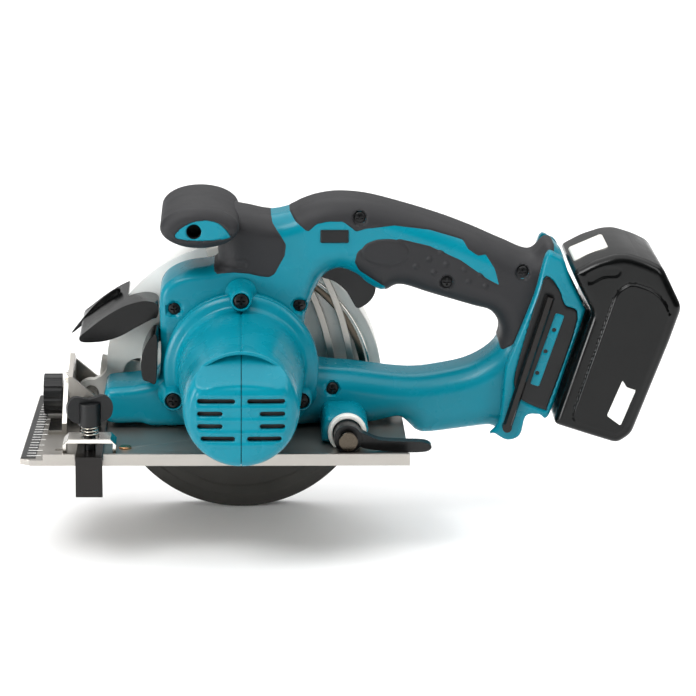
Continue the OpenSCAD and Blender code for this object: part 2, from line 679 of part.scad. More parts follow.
// ---- battery ----

battery_points = [[2.6, 0], [20, -0.5], [36, -1.5], [42, 3], [44.5, 14], [46, 60], [46.5, 75], [45.8, 82.6],
    [29.4, 97.9], [9, 99.3], [3.3, 97.5], [-6.9, 90.1], [-16.1, 80.9], [-12, 76], [1.6, 63], [1.6, 30], [1.6, 3]];
cell_r = 8.7;
module cell_spots() on_mount() for (x = [13.4, 31.2]) for (i = [0 : 4])
    translate([x, 0, 11 + i * 17.8]) rotate([90, 0, 0]) children();
module battery_case() color("#0B0C0E") difference() {
    on_mount() {
        translate([0, battery_w / 2, 0]) rotate([90, 0, 0]) linear_extrude(battery_w) polygon(battery_points);
        translate([-rail_in, -rail_half, 6.5]) cube([rail_in + 2, 2 * rail_half, 62]);
    }
    cell_spots() translate([0, 0, -33.5]) cylinder(h = 67, r = cell_r + fit);
    // slots for the terminals
    on_mount() for (s = [-1, 1]) translate([-rail_in - 1, s * 8 - 1.6, 6]) cube([5, 3.2, 48]);
    // pocket of the release button
    button_frame() translate([-10.4, -15.4, -8]) cube([20.8, 30.8, 20]);
}
module battery_cells() color("#3E7FB5") cell_spots() translate([0, 0, -33]) cylinder(h = 66, r = cell_r);

// Frame of the release button, on the slope at the pack's upper corner
module button_frame() on_mount() translate([-6.4, 0, 89.8]) rotate([0, -41, 0]) children();
module battery_button() color("#E4E2DA") button_frame() translate([-10, -15, -4.4]) cube([20, 30, 5]);

// ---- wrench and screws ----

wrench_y = mount_near - 2.6;
wrench_len = 75;
module wrench_groove() translate([142.5, wrench_y, 7]) rotate([0, 16.7, 0])
    translate([0, 0, -6]) cylinder(h = 92, r = 3.1);
module hex_wrench() color("#4A443C") {
    translate([142.5, wrench_y, 7]) rotate([0, 16.7, 0]) cylinder(h = wrench_len, r = 2.6, $fn = 6);
    bar_y([142.5, 7], wrench_y - 2.2, -handle_y - 10, 2.5);
}

screw_head = 2.4;
module screw(at, y0, length, r) difference() {
    union() {
        bar_y(at, y0, y0 + screw_head, r);
        bar_y(at, y0 + screw_head - 0.01, y0 + length, 1.6);
    }
    translate([at[0], y0, at[1]]) cube([r * 1.3, 2, 0.9], center = true);
    translate([at[0], y0, at[1]]) cube([0.9, 2, r * 1.3], center = true);
}
module housing_screws() color("#1E1E20") for (s = screw_spots) screw(s, near_face, 30, 3.5);
module motor_screws() color("#1E1E20") for (s = motor_screw_spots)
    screw([s[0], motor_z + s[1]], near_face - lug_l - screw_head, 38, 4.2);

// ---- base and its hinges ----

module depth_bracket() color(steel) difference() {
    union() {
        // plate against the quadrant
        translate([-92.9, 0, 0]) rotate([90, 0, 90]) linear_extrude(steel_t) polygon(concat(
            [[-48, 6.8], [-48, 30], [-20, 36], [-6, 30], [2, 14.5]], arc(5.5, 60, -90, 8, [0, bevel_z]), [[-3, 6.8]]));
        // ears for the depth pin
        for (y = [-48, -8]) slab(y, y + steel_t) hull() {
            circle_at(pivot, 7);
            translate([-92.9, 6.8]) square([2, 23]);
        }
    }
    bar_x([0, bevel_z], -100, -80, 3.05);
    bar_x([knob_y, knob_z], -100, -80, 3.05);
    bar_y(pivot, -60, 0, 3.95);
}
module depth_pivot_pin() color(dark_steel) {
    bar_y(pivot, -50, -4, 4);
    bar_y(pivot, -52, -49.99, 6);
    bar_x([0, bevel_z], -98, -88, 3);
    bar_x([0, bevel_z], 76.5, 86, 3);
}

// Rear depth guide: a slotted steel arc about the depth pivot, with a foot on the bevel axis
module depth_guide() color(steel) difference() {
    union() {
        slab(-17.6, -15.1) {
            sector(guide_r + 7, guide_r - 7, -4, depth_sweep + 4.5, pivot);
            polygon([[49, 5.5], [83, 5.5], [83, 18], [60, 26]]);
        }
        translate([80.5, 0, 0]) rotate([90, 0, 90]) linear_extrude(steel_t) polygon(concat(
            [[-17.6, 18], [-17.6, 5.5], [-4, 5.5]], arc(5.5, -60, 90, 8, [0, bevel_z]), [[-6, 18]]));
    }
    slab(-20, -12) sector(guide_r + 3.3, guide_r - 3.3, -2.6, depth_sweep + 1, pivot);
    bar_x([0, bevel_z], 70, 90, 2.99);
}

module depth_bolt() color(steel) {
    bar_y(bolt_at, -104, -11, 3);
    bar_y(bolt_at, -14.8, -11, 4.8);
    bar_y(bolt_at, -19, -17.8, 4.8);
    bar_y(bolt_at, -109, -103.99, 5);
}

module depth_lever() color(black) difference() {
    union() {
        bar_y(bolt_at, -103.8, -boss_near - 0.3, 7.4);
        slab(-103, -96) polygon(smooth([[56, 17], [63, 14.5], [72, 10.5], [84, 9.5], [96, 9], [100, 6.6], [97, 4],
            [86, 3.6], [74, 4.4], [62, 7]], 4));
    }
    bar_y(bolt_at, -120, 0, 3.05);
}

module plate_outline() difference() {
    union() {
        translate([-base_front + 5, -base_near]) square([base_front + base_rear - 5, base_near + base_far]);
        polygon([[-base_front, -base_near + 3], [-base_front + 8, -base_near],
            [-base_front + 8, base_far], [-base_front + 3, base_far]]);
    }
    // blade slot
    translate([-75, -slot_near]) square([149, slot_near + slot_far]);
    // window under the gear box
    translate([-22, -52]) square([44, 52]);
}

module base_plate() color(steel) difference() {
    union() {
        linear_extrude(base_t) plate_outline();
        // turned up rim on the near edge
        box([-base_front + 12, -base_near, 0], [base_rear, -base_near + 2.5, rim_h]);
    }
    bar_z([-95.5, -95], -1, 10, 2.2);
    // way through the rim for the guide rule
    box([wing_at[0] - rule_w / 2 - slide_gap, -base_near - 1, base_t],
        [wing_at[0] + rule_w / 2 + slide_gap, -base_near + 4, rim_h + 1]);
    bar_z([-61, -92], base_t - 1.2, 10, 3.4);
}

module base_scale() color("#4A4A48") translate([0, 0, base_t])
    linear_extrude(0.4) polygon([[-base_front + 0.5, -base_near + 4], [-base_front + 8, -base_near + 4],
        [-base_front + 10.5, base_far - 1], [-base_front + 3.5, base_far - 1]]);

module bevel_quadrant() color(steel) difference() {
    union() {
        translate([quadrant_x - steel_t, 0, 0]) rotate([90, 0, 90]) linear_extrude(steel_t) polygon(concat(
            [[-66, base_t], [-66, 9], [-46, 24]], arc(bevel_slot_r + 5.5, 152, 108, 12, [0, bevel_z]),
            [[-3, 24]], arc(6, 60, 0, 4, [0, bevel_z]), [[6, base_t]]));
        // feet on both sides of the knob
        box([-103, -66, base_t], [quadrant_x - steel_t + 0.01, knob_y - 14, base_t + 2]);
        box([-103, knob_y + 13.5, base_t], [quadrant_x - steel_t + 0.01, 6, base_t + 2]);
    }
    bar_x([0, bevel_z], -100, -80, 3.05);
    translate([-97, 0, 0]) rotate([90, 0, 90]) linear_extrude(6)
        sector(bevel_slot_r + 3.4, bevel_slot_r - 3.4, 180 - knob_angle + slot_over,
            180 - knob_angle - bevel_sweep - slot_over, [0, bevel_z]);
}

module rear_hinge_lug() color(steel) difference() {
    union() {
        translate([77.3, 0, 0]) rotate([90, 0, 90]) linear_extrude(steel_t) polygon(concat(
            [[8, base_t]], arc(5.5, 0, 150, 10, [0, bevel_z]), [[-14, base_t]]));
        box([77.3, -14, base_t], [79.79, 8, base_t + 2]);
    }
    bar_x([0, bevel_z], 70, 90, 3.05);
}

module bevel_knob() color(black) {
    difference() {
        bar_x([knob_y, knob_z], -107, -97, 11);
        for (a = [0 : 30 : 330]) translate([0, knob_y, knob_z]) rotate([a, 0, 0]) bar_x([11.6, 0], -108, -96, 1.3);
    }
    bar_x([knob_y, knob_z], -97.01, -86, 3);
}

module guide_clamp() color(steel) difference() {
    union() {
        translate([0, -96, 0]) rotate([90, 0, 0]) linear_extrude(14) polygon([[-93, base_t], [-93, 10],
            [-90, 13], [-68, 13], [-65, 10], [-65, base_t]]);
    }
    box([-91, -120, base_t - 1], [-67, -90, 10.5]);
    bar_z(wing_at, 5, 20, 3.05);
}

module guide_rule() color("#8B857B") {
    difference() {
        box([wing_at[0] - rule_w / 2, -base_near - 3.5, base_t + 0.1],
            [wing_at[0] + rule_w / 2, -22, base_t + 0.1 + rule_t]);
        bar_z([wing_at[0], -30], 0, 20, 2);
    }
    box([wing_at[0] - rule_w / 2, -base_near - 3.5, -16],
        [wing_at[0] + rule_w / 2, -base_near - 1, base_t + 0.11]);
}

module wing_bolt() color(charcoal) {
    bar_z(wing_at, base_t + rule_t + 0.2, 20, 3);
    bar_z(wing_at, 19, 31, 6);
    translate([wing_at[0], wing_at[1], 0]) rotate([0, 0, 15])
        slab(-1.6, 1.6) polygon(smooth([[-12, 30], [-8, 34.5], [0, 33], [8, 34.5], [12, 30], [11, 23], [5, 20],
            [-5, 20], [-11, 23]], 4));
}
module wing_spring() color(steel) translate([wing_at[0], wing_at[1], 13.5])
    coil(4.6, 3.9, 4.8, 3, 0.9);

module sight_rivet() color("#D9A375") bar_z([-61, -92], base_t - 1.2, base_t + 1, 3.35);

housing_left();
housing_right();
handle_rubber_left();
handle_rubber_right();
front_grip();
front_grip_inserts();
mount_panel_left();
mount_panel_right();
motor_housing();
motor_yoke();
motor_magnets();
brush_holders();
carbon_brushes();
armature();
motor_fan();
motor_pinion();
rotor_bearings();
gear_case();
gear_cover();
spindle();
spindle_gear();
spindle_bearings();
inner_flange();
saw_blade();
outer_flange();
arbor_bolt();
chip_cover();
chip_deflector();
lamp_housing();
lamp_lens();
lower_guard();
guard_spring();
trigger();
trigger_switch();
lock_off_button();
shaft_lock();
terminal_block();
battery_case();
battery_cells();
battery_button();
hex_wrench();
housing_screws();
motor_screws();
depth_bracket();
depth_pivot_pin();
depth_guide();
depth_bolt();
depth_lever();
base_plate();
base_scale();
bevel_quadrant();
rear_hinge_lug();
bevel_knob();
guide_clamp();
guide_rule();
wing_bolt();
wing_spring();
sight_rivet();
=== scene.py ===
import math
import bpy
import bmesh
import numpy as np
from mathutils import Matrix, Vector, geometry


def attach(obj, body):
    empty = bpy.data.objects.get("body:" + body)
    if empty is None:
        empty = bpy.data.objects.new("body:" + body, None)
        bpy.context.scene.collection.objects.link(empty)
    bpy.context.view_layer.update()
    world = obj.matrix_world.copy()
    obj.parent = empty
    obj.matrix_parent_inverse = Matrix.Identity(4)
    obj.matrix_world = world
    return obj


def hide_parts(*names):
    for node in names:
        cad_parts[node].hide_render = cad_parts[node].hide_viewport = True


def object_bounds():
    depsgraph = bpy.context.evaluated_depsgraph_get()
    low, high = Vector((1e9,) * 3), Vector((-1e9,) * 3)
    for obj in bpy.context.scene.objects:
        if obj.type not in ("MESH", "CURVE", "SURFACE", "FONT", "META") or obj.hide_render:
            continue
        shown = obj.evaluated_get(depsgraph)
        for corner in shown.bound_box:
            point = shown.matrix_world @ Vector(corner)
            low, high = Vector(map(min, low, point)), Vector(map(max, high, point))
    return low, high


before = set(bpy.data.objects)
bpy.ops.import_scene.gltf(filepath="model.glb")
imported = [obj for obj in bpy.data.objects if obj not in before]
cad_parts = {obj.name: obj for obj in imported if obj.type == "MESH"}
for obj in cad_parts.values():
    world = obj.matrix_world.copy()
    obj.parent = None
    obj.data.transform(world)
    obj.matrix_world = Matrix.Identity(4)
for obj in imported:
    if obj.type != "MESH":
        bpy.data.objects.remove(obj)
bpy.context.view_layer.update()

mm = 0.001


def srgb(code):
    parts = [int(code[i:i + 2], 16) / 255 for i in (1, 3, 5)]
    return [c / 12.92 if c <= 0.04045 else ((c + 0.055) / 1.055) ** 2.4 for c in parts] + [1.0]


# ---- outlines, in millimetres, drawn in X and Z ----

def splineLoop(points, steps=6):
    p = np.array(points, float)
    t = np.linspace(0, 1, steps, endpoint=False)[None, :, None]
    a, b, c, d = (np.roll(p, k, 0)[:, None, :] for k in (1, 0, -1, -2))
    # cubic through neighbours: half of (2b + (c-a)t + (2a-5b+4c-d)t squared + (3b-a-3c+d)t cubed)
    return (0.5 * (2 * b + (c - a) * t + (2 * a - 5 * b + 4 * c - d) * t * t
                   + (3 * b - a - 3 * c + d) * t ** 3)).reshape(-1, 2)


def evenLoop(loop, spacing):
    closed = np.vstack([loop, loop[:1]])
    run = np.concatenate([[0], np.cumsum(np.linalg.norm(np.diff(closed, axis=0), axis=1))])
    count = max(8, int(run[-1] / spacing))
    at = np.linspace(0, run[-1], count, endpoint=False)
    return np.column_stack([np.interp(at, run, closed[:, k]) for k in (0, 1)])


def circleLoop(x, z, r, count=48, rz=None):
    a = np.linspace(0, 2 * math.pi, count, endpoint=False)
    return np.column_stack([x + r * np.cos(a), z + (rz or r) * np.sin(a)])


def roundRect(x, z, width, height, radius, turn=0.0):
    a = np.linspace(0, math.pi / 2, 6)
    out = []
    for k, (sx, sz) in enumerate([(1, 1), (-1, 1), (-1, -1), (1, -1)]):
        angle = a + k * math.pi / 2
        out.append(np.column_stack([sx * (width / 2 - radius) + radius * np.cos(angle),
                                    sz * (height / 2 - radius) + radius * np.sin(angle)]))
    p = np.vstack(out)
    c, s = math.cos(math.radians(turn)), math.sin(math.radians(turn))
    return np.column_stack([x + p[:, 0] * c - p[:, 1] * s, z + p[:, 0] * s + p[:, 1] * c])


def edgeDistance(points, loops):
    best = np.full(len(points), 1e9)
    for loop in loops:
        a, e = loop, np.roll(loop, -1, 0) - loop
        size = np.maximum((e * e).sum(1), 1e-12)
        for start in range(0, len(points), 3000):
            w = points[start:start + 3000, None] - a
            t = np.clip((w * e).sum(2) / size, 0, 1)
            found = np.linalg.norm(w - t[..., None] * e, axis=2).min(1)
            best[start:start + 3000] = np.minimum(best[start:start + 3000], found)
    return best


def isInside(points, loops):
    hits = np.zeros(len(points), int)
    x, z = points[:, :1], points[:, 1:]
    for loop in loops:
        a, b = loop, np.roll(loop, -1, 0)
        crosses = (a[:, 1] > z) != (b[:, 1] > z)
        rise = np.where(np.abs(b[:, 1] - a[:, 1]) < 1e-12, 1e-12, b[:, 1] - a[:, 1])
        hits += (crosses & (x < a[:, 0] + (z - a[:, 1]) * (b[:, 0] - a[:, 0]) / rise)).sum(1)
    return hits % 2 == 1


def blendStep(value, low, high):
    t = np.clip((value - low) / (high - low), 0, 1)
    return t * t * (3 - 2 * t)


def fillRegion(loops, spacing, insets):
    edge = np.vstack(loops)
    points, reach = [edge], 0.0
    for inset in insets:
        for loop in loops:
            along = np.roll(loop, -1, 0) - np.roll(loop, 1, 0)
            normal = np.column_stack([-along[:, 1], along[:, 0]])
            normal /= np.maximum(np.linalg.norm(normal, axis=1), 1e-9)[:, None]
            for side in (1, -1):
                ring = loop + side * inset * normal
                ring = ring[isInside(ring, loops)]
                if len(ring):
                    points.append(ring[edgeDistance(ring, loops) > 0.93 * inset])
        reach = inset
    low, high = edge.min(0), edge.max(0)
    gx, gz = np.meshgrid(np.arange(low[0], high[0], spacing), np.arange(low[1], high[1], spacing * 0.87))
    gx = gx + (np.arange(gx.shape[0]) % 2)[:, None] * spacing / 2
    grid = np.column_stack([gx.ravel(), gz.ravel()])
    grid = grid[isInside(grid, loops)]
    points.append(grid[edgeDistance(grid, loops) > reach + spacing * 0.45])
    points = np.vstack(points)
    edges, start = [], 0
    for loop in loops:
        n = len(loop)
        edges += [(start + i, start + (i + 1) % n) for i in range(n)]
        start += n
    made = geometry.delaunay_2d_cdt([Vector(p) for p in points], edges, [], 0, 1e-5)
    verts = np.array([v[:] for v in made[0]])
    tris = np.array(made[2])
    tris = tris[isInside(verts[tris].mean(1), loops)]
    origin = {}
    for i, sources in enumerate(made[3]):
        for source in sources:
            origin.setdefault(source, i)
    rings, start = [], 0
    for loop in loops:
        rings.append([origin[start + i] for i in range(len(loop))])
        start += len(loop)
    return verts, tris, rings


# ---- meshes ----

def meshPiece(name, verts, faces, material, body, replaces=(), slot=None, crease=32):
    mesh = bpy.data.meshes.new(name)
    mesh.from_pydata([tuple(v) for v in np.asarray(verts) * mm], [], [tuple(int(i) for i in f) for f in faces])
    tidy = bmesh.new()
    tidy.from_mesh(mesh)
    bmesh.ops.remove_doubles(tidy, verts=tidy.verts, dist=2e-6)
    loose = [v for v in tidy.verts if not v.link_faces]
    bmesh.ops.delete(tidy, geom=loose, context="VERTS")
    bmesh.ops.recalc_face_normals(tidy, faces=tidy.faces)
    tidy.to_mesh(mesh)
    tidy.free()
    mesh.shade_smooth()
    mesh.set_sharp_from_angle(angle=math.radians(crease))
    mesh.materials.append(material)
    piece = bpy.data.objects.new(name, mesh)
    bpy.context.scene.collection.objects.link(piece)
    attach(piece, body)
    if replaces:
        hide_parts(*replaces)
    return piece


def skinPiece(name, loops, near, far, material, body, spacing=1.2, insets=(0.15, 0.5, 1.1, 2.0, 3.2, 4.8),
              edge=1.0, lift=0.0, **more):
    # two skins over one outline, joined along its edges; near and far give Y from the points and their edge distance
    loops = [evenLoop(loop, edge) for loop in loops]
    verts, tris, rings = fillRegion(loops, spacing, insets)
    depth = edgeDistance(verts, loops)
    onEdge = np.zeros(len(verts), bool)
    for ring in rings:
        onEdge[ring] = True
    depth[onEdge] = 0
    front = np.column_stack([verts[:, 0], near(verts, depth), verts[:, 1]])
    back = np.column_stack([verts[:, 0], far(verts, depth), verts[:, 1]])
    n = len(verts)
    faces = [t for t in tris] + [t[::-1] + n for t in tris]
    for ring in rings:
        for i, j in zip(ring, ring[1:] + ring[:1]):
            faces.append((i, j, j + n, i + n))
    piece = meshPiece(name, np.vstack([front, back]), faces, material, body, **more)
    if lift:
        mesh = piece.data
        place, normal = np.zeros(len(mesh.vertices) * 3), np.zeros(len(mesh.vertices) * 3)
        mesh.vertices.foreach_get("co", place)
        mesh.vertices.foreach_get("normal", normal)
        mesh.vertices.foreach_set("co", place + normal * lift * mm)
        mesh.update()
    return piece


def rounded(radius):
    # quarter circle: how far the face lies back at a distance d from the edge
    return lambda d: radius - np.sqrt(np.maximum(radius ** 2 - (radius - np.clip(d, 0, radius)) ** 2, 0))


def gridFaces(rows, cols, wrapRows=False, wrapCols=True):
    r = np.arange(rows if wrapRows else rows - 1)
    c = np.arange(cols if wrapCols else cols - 1)
    a, b = np.meshgrid(r, c, indexing="ij")
    a, b = a.ravel(), b.ravel()
    a2, b2 = (a + 1) % rows, (b + 1) % cols
    return np.column_stack([a * cols + b, a2 * cols + b, a2 * cols + b2, a * cols + b2])


def turned(profile, centre, segments=144, change=None):
    # a profile of (radius, Y) carried all the way round an axis along Y
    profile = np.array(profile, float)
    a = np.linspace(0, 2 * math.pi, segments, endpoint=False)
    r = np.repeat(profile[:, :1], segments, 1)
    y = np.repeat(profile[:, 1:], segments, 1)
    if change:
        r, y = change(r, y, a[None, :])
    verts = np.stack([centre[0] + r * np.cos(a), y, centre[1] + r * np.sin(a)], 2).reshape(-1, 3)
    return verts, gridFaces(len(profile), segments)


def sweptArc(section, start, end, centre, segments):
    # a closed section of (radius, Y) carried from one angle to another, with both ends capped
    section = np.array(section, float)
    a = np.radians(np.linspace(start, end, segments))
    verts = np.stack([centre[0] + section[None, :, 0] * np.cos(a)[:, None],
                      np.repeat(section[None, :, 1], segments, 0),
                      centre[1] + section[None, :, 0] * np.sin(a)[:, None]], 2).reshape(-1, 3)
    faces = [tuple(f) for f in gridFaces(segments, len(section))]
    n = len(section)
    faces += [tuple(range(n)), tuple(range((segments - 1) * n, segments * n))]
    return verts, faces


def roundSection(points, radius, steps=4):
    # rounds every corner of a closed section
    p = np.array(points, float)
    before, after = np.roll(p, 1, 0), np.roll(p, -1, 0)
    out = []
    for a, b, c in zip(before, p, after):
        u, v = a - b, c - b
        reach = min(radius, 0.45 * np.linalg.norm(u), 0.45 * np.linalg.norm(v))
        u, v = b + u / np.linalg.norm(u) * reach, b + v / np.linalg.norm(v) * reach
        for t in np.linspace(0, 1, steps):
            out.append((1 - t) ** 2 * u + 2 * t * (1 - t) * b + t * t * v)
    return np.array(out)


def softened(node, material, body, width=0.4, name=None, steps=2, crease=35):
    # a copy of a CAD part with merged points, flat faces joined and its edges rounded
    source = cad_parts[node]
    mesh = source.data.copy()
    tidy = bmesh.new()
    tidy.from_mesh(mesh)
    bmesh.ops.remove_doubles(tidy, verts=tidy.verts, dist=3e-6)
    bmesh.ops.dissolve_limit(tidy, angle_limit=math.radians(0.6), verts=tidy.verts, edges=tidy.edges)
    bmesh.ops.recalc_face_normals(tidy, faces=tidy.faces)
    tidy.to_mesh(mesh)
    tidy.free()
    mesh.materials.clear()
    mesh.materials.append(material)
    mesh.shade_smooth()
    mesh.set_sharp_from_angle(angle=math.radians(crease))
    piece = bpy.data.objects.new(name or node + "Soft", mesh)
    bpy.context.scene.collection.objects.link(piece)
    if width:
        bevel = piece.modifiers.new("edges", "BEVEL")
        bevel.width = width * mm
        bevel.segments = steps
        bevel.limit_method = "ANGLE"
        bevel.angle_limit = math.radians(38)
        bevel.harden_normals = True
    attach(piece, body)
    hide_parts(node)
    return piece


# ---- materials ----

def addNode(tree, kind, settings=(), **links):
    made = tree.nodes.new(kind)
    for key, value in dict(settings).items():
        if hasattr(made, key):
            setattr(made, key, value)
        else:
            made.inputs[key].default_value = value
    for key, value in links.items():
        tree.links.new(value, made.inputs[key.replace("_", " ")])
    return made


def surface(name, colour, rough, metal=0.0, coat=0.0, grain=None, grainDepth=0.0, mottle=0.0, stretch=(1, 1, 1),
            roughSpread=0.06, **extra):
    # colour with a slow mottle, a fine bump of real size and a little wear in the shine
    material = bpy.data.materials.new(name)
    material.use_nodes = True
    tree = material.node_tree
    shader = tree.nodes["Principled BSDF"]
    shader.inputs["Base Color"].default_value = srgb(colour)
    shader.inputs["Metallic"].default_value = metal
    shader.inputs["Coat Weight"].default_value = coat
    for key, value in extra.items():
        shader.inputs[key].default_value = value
    place = addNode(tree, "ShaderNodeTexCoord")
    scaled = addNode(tree, "ShaderNodeMapping", {"Scale": stretch}, Vector=place.outputs["Object"])
    slow = addNode(tree, "ShaderNodeTexNoise", {"Scale": 45.0, "Detail": 4.0}, Vector=scaled.outputs[0])
    wear = addNode(tree, "ShaderNodeMapRange", {"From Min": 0.3, "From Max": 0.7, "To Max": rough + roughSpread,
                                               "To Min": max(0.02, rough - roughSpread)}, Value=slow.outputs["Fac"])
    tree.links.new(wear.outputs[0], shader.inputs["Roughness"])
    if mottle:
        base = srgb(colour)
        ramp = addNode(tree, "ShaderNodeValToRGB", Fac=slow.outputs["Fac"])
        ramp.color_ramp.elements[0].position = 0.3
        ramp.color_ramp.elements[1].position = 0.7
        ramp.color_ramp.elements[0].color = [c * (1 - mottle) for c in base[:3]] + [1]
        ramp.color_ramp.elements[1].color = [min(1, c * (1 + mottle)) for c in base[:3]] + [1]
        tree.links.new(ramp.outputs[0], shader.inputs["Base Color"])
    if grain:
        fine = addNode(tree, "ShaderNodeTexNoise", {"Scale": 1 / (grain * mm), "Detail": 2.0},
                       Vector=scaled.outputs[0])
        bump = addNode(tree, "ShaderNodeBump", {"Strength": 0.5, "Distance": grainDepth * mm},
                       Height=fine.outputs["Fac"])
        tree.links.new(bump.outputs[0], shader.inputs["Normal"])
    return material


# glossy teal moulding, with the faint orange peel of a polished mould
tealAbs = surface("tealGlossAbs", "#017587", 0.27, grain=1.6, grainDepth=0.012, mottle=0.04,
                  **{"Specular IOR Level": 0.22})
# soft black-grey rubber with a spark-eroded grain
rubber = surface("charcoalRubber", "#222224", 0.55, grain=0.35, grainDepth=0.09, mottle=0.1,
                 **{"Specular IOR Level": 0.3})
# satin black nylon of the small mouldings
blackNylon = surface("satinBlackNylon", "#0D0E0F", 0.34, grain=0.4, grainDepth=0.03, mottle=0.1,
                     **{"Specular IOR Level": 0.3})
# polished black of the pack
glossBlack = surface("glossBlackPack", "#050606", 0.2, grain=0.9, grainDepth=0.012, mottle=0.08,
                     **{"Specular IOR Level": 0.25})
# painted die casting, with a fine pebble
castSilver = surface("paintedCasting", "#E9E6DF", 0.32, metal=0.0, grain=0.7, grainDepth=0.05, mottle=0.06)
# bright zinc plate of the base
plateSteel = surface("plateSteel", "#A8A49E", 0.34, metal=0.85, mottle=0.06, stretch=(0.15, 1, 1), grain=0.5,
                     grainDepth=0.012)
# nickel plate on pressed steel, with clear and slightly warm reflections
brightSteel = surface("brightNickel", "#D2CFC8", 0.17, metal=1.0, mottle=0.04)
# brown-black oxide on turned steel, with a patchy shine
darkSteel = surface("darkOxideSteel", "#524B42", 0.28, metal=1.0, mottle=0.12)
# oiled black of the wrench and the tab of the guide
blackOxide = surface("blackOxide", "#1C1A19", 0.22, metal=0.6, mottle=0.1)
# matte paint of the lower guard
guardPaint = surface("guardDarkPaint", "#32312E", 0.4, metal=0.2, grain=0.6, grainDepth=0.03, mottle=0.08)
# bare copper, rubbed bright
copperRivet = surface("copperRivet", "#D9A375", 0.25, metal=1.0, mottle=0.05)
# milky polycarbonate: pale, with a soft shine and little seen through it
clearCover = surface("clearPolycarbonate", "#FAFBF8", 0.14, **{"Transmission Weight": 0.15, "IOR": 1.49})
# off-white satin nylon of the release button
greyNylon = surface("lightGreyNylon", "#E4E2DA", 0.42, grain=0.5, grainDepth=0.02, mottle=0.03)
# ivory plastic washer, plain and satin
ivoryRing = surface("ivoryRing", "#E8E6DF", 0.4, mottle=0.03)
# near-black printed film under the white ticks of the scale
scaleFilm = surface("darkScaleFilm", "#262625", 0.4, mottle=0.05)
whiteInk = surface("whiteInk", "#E6E6E2", 0.5)
# painted shade: flat black standing for the unlit insides behind slots and holes
paintedShadeBlack = surface("shadowBlack", "#0A0B0C", 0.6)
# ground steel of the blade, with an even grey shine
bladeSteel = surface("groundBladeSteel", "#9A9C9F", 0.28, metal=1.0, mottle=0.08)
# blue shrink sleeve of the cells
cellSleeve = surface("cellSleeve", "#3E7FB5", 0.35, mottle=0.05)
# amber lacquer over copper wire
windings = surface("lacqueredWindings", "#7A4A2A", 0.4, mottle=0.15)
print("materials made")

# ---- body shells ----
arbor = (0.0, 17.0)
motorAt = (0.0, 37.8)
bodyLook = {"nearY": -57.0, "farY": -19.0, "handleRound": 12.0, "webRound": 4.5, "handleX": (26, 46),
            "handleZ": (84, 96), "screwR": 3.9, "screwSink": 2.2}
bodyPoints = [(-13, 93), (-27, 90), (-36, 86), (-41.5, 81), (-43.5, 73), (-43, 55), (-43, 40), (-45, 30),
              (-58, 26.5), (-72, 24.5), (-73, 15), (-71, 6.5), (-54, 6), (-48, 4.5), (-30, 4.5), (0, 4.5),
              (40, 4.5), (67, 4.5), (78, 6.5), (86, 7.5), (91.5, 3), (95, 0), (102, -1), (129, 2.5),
              (136, 2.5), (143, -1.5), (150, 1.5), (153, 12), (160, 13), (165.5, 12), (174.5, 40.5),
              (183.3, 68.3), (183, 72.6), (175.7, 87.3), (173.4, 93.4), (171.4, 98.8), (164, 104), (155, 97),
              (140, 102.5), (124, 109.5), (107, 116), (86, 122.5), (67, 127.3), (52, 128.5), (41, 127),
              (33, 124.3), (26, 121), (15, 119), (2, 121.5), (-8, 122), (-13, 112), (-12, 101)]
openingPoints = [(34, 62), (36, 70), (40, 80), (45, 87), (53, 90), (62, 86.5), (68, 81.5), (76, 78),
                 (85, 81.5), (102, 76.5), (124, 70), (134, 67), (139, 60), (139.5, 52), (135, 44.5),
                 (124, 37.5), (110, 33.7), (90, 31.5), (60, 34.8), (38, 37.5), (34.5, 45)]
bodyLoops = [evenLoop(splineLoop(bodyPoints), 1.0), evenLoop(splineLoop(openingPoints), 1.0)]


def bodyRound(points):
    # the handle is fully rounded, the web round the motor only at its edge
    handle = np.maximum(blendStep(points[:, 0], *bodyLook["handleX"]), blendStep(points[:, 1], *bodyLook["handleZ"]))
    return bodyLook["webRound"] + (bodyLook["handleRound"] - bodyLook["webRound"]) * handle


def bodyBack(points, depth=None):
    depth = edgeDistance(points, bodyLoops) if depth is None else depth
    radius = bodyRound(points)
    return radius - np.sqrt(np.maximum(radius ** 2 - (radius - np.minimum(depth, radius)) ** 2, 0))


padCentre = (76.5, 101.0)
dots = [(106.4, 101), (100, 97.3), (115.8, 98.5), (125.3, 95), (93, 93.3), (109, 94.4), (102.5, 90.1),
        (118.6, 91.6), (127.5, 88.4), (121, 84.9), (130.3, 82.7)]
gripRubberTop = [(26, 121.5), (29, 117), (35.3, 111.8), (40, 116), (46, 117.4), (54, 117.4), (58, 114.5),
                 (61, 112), (66, 113.6), (81, 115.2), (100, 112.6), (114, 108.3), (118, 107), (120.5, 102.5),
                 (126, 98.8), (130, 99.5), (135, 92), (137.5, 83), (131, 86.5), (117, 96.5), (100, 104.4),
                 (84, 108.2), (72, 107.6), (66, 105.5), (61.5, 100.5), (60.5, 95.5), (63, 90.5), (70, 86),
                 (77, 81.5)]
screwSpots = [(62.8, 119), (109.7, 84.5), (150, 89.5), (49, 25.3), (-35.5, 69.5), (31, 71.5)]


def screwWells(points):
    # flat-bottomed seats of the shell screws
    soft = 0.35
    out = np.zeros(len(points))
    for x, z in screwSpots:
        away = np.hypot(points[:, 0] - x, points[:, 1] - z)
        out += bodyLook["screwSink"] * (1 - blendStep(away, bodyLook["screwR"] - soft, bodyLook["screwR"] + soft))
    return out


def tealNear(points, depth):
    return bodyLook["nearY"] + bodyBack(points, depth) + screwWells(points)


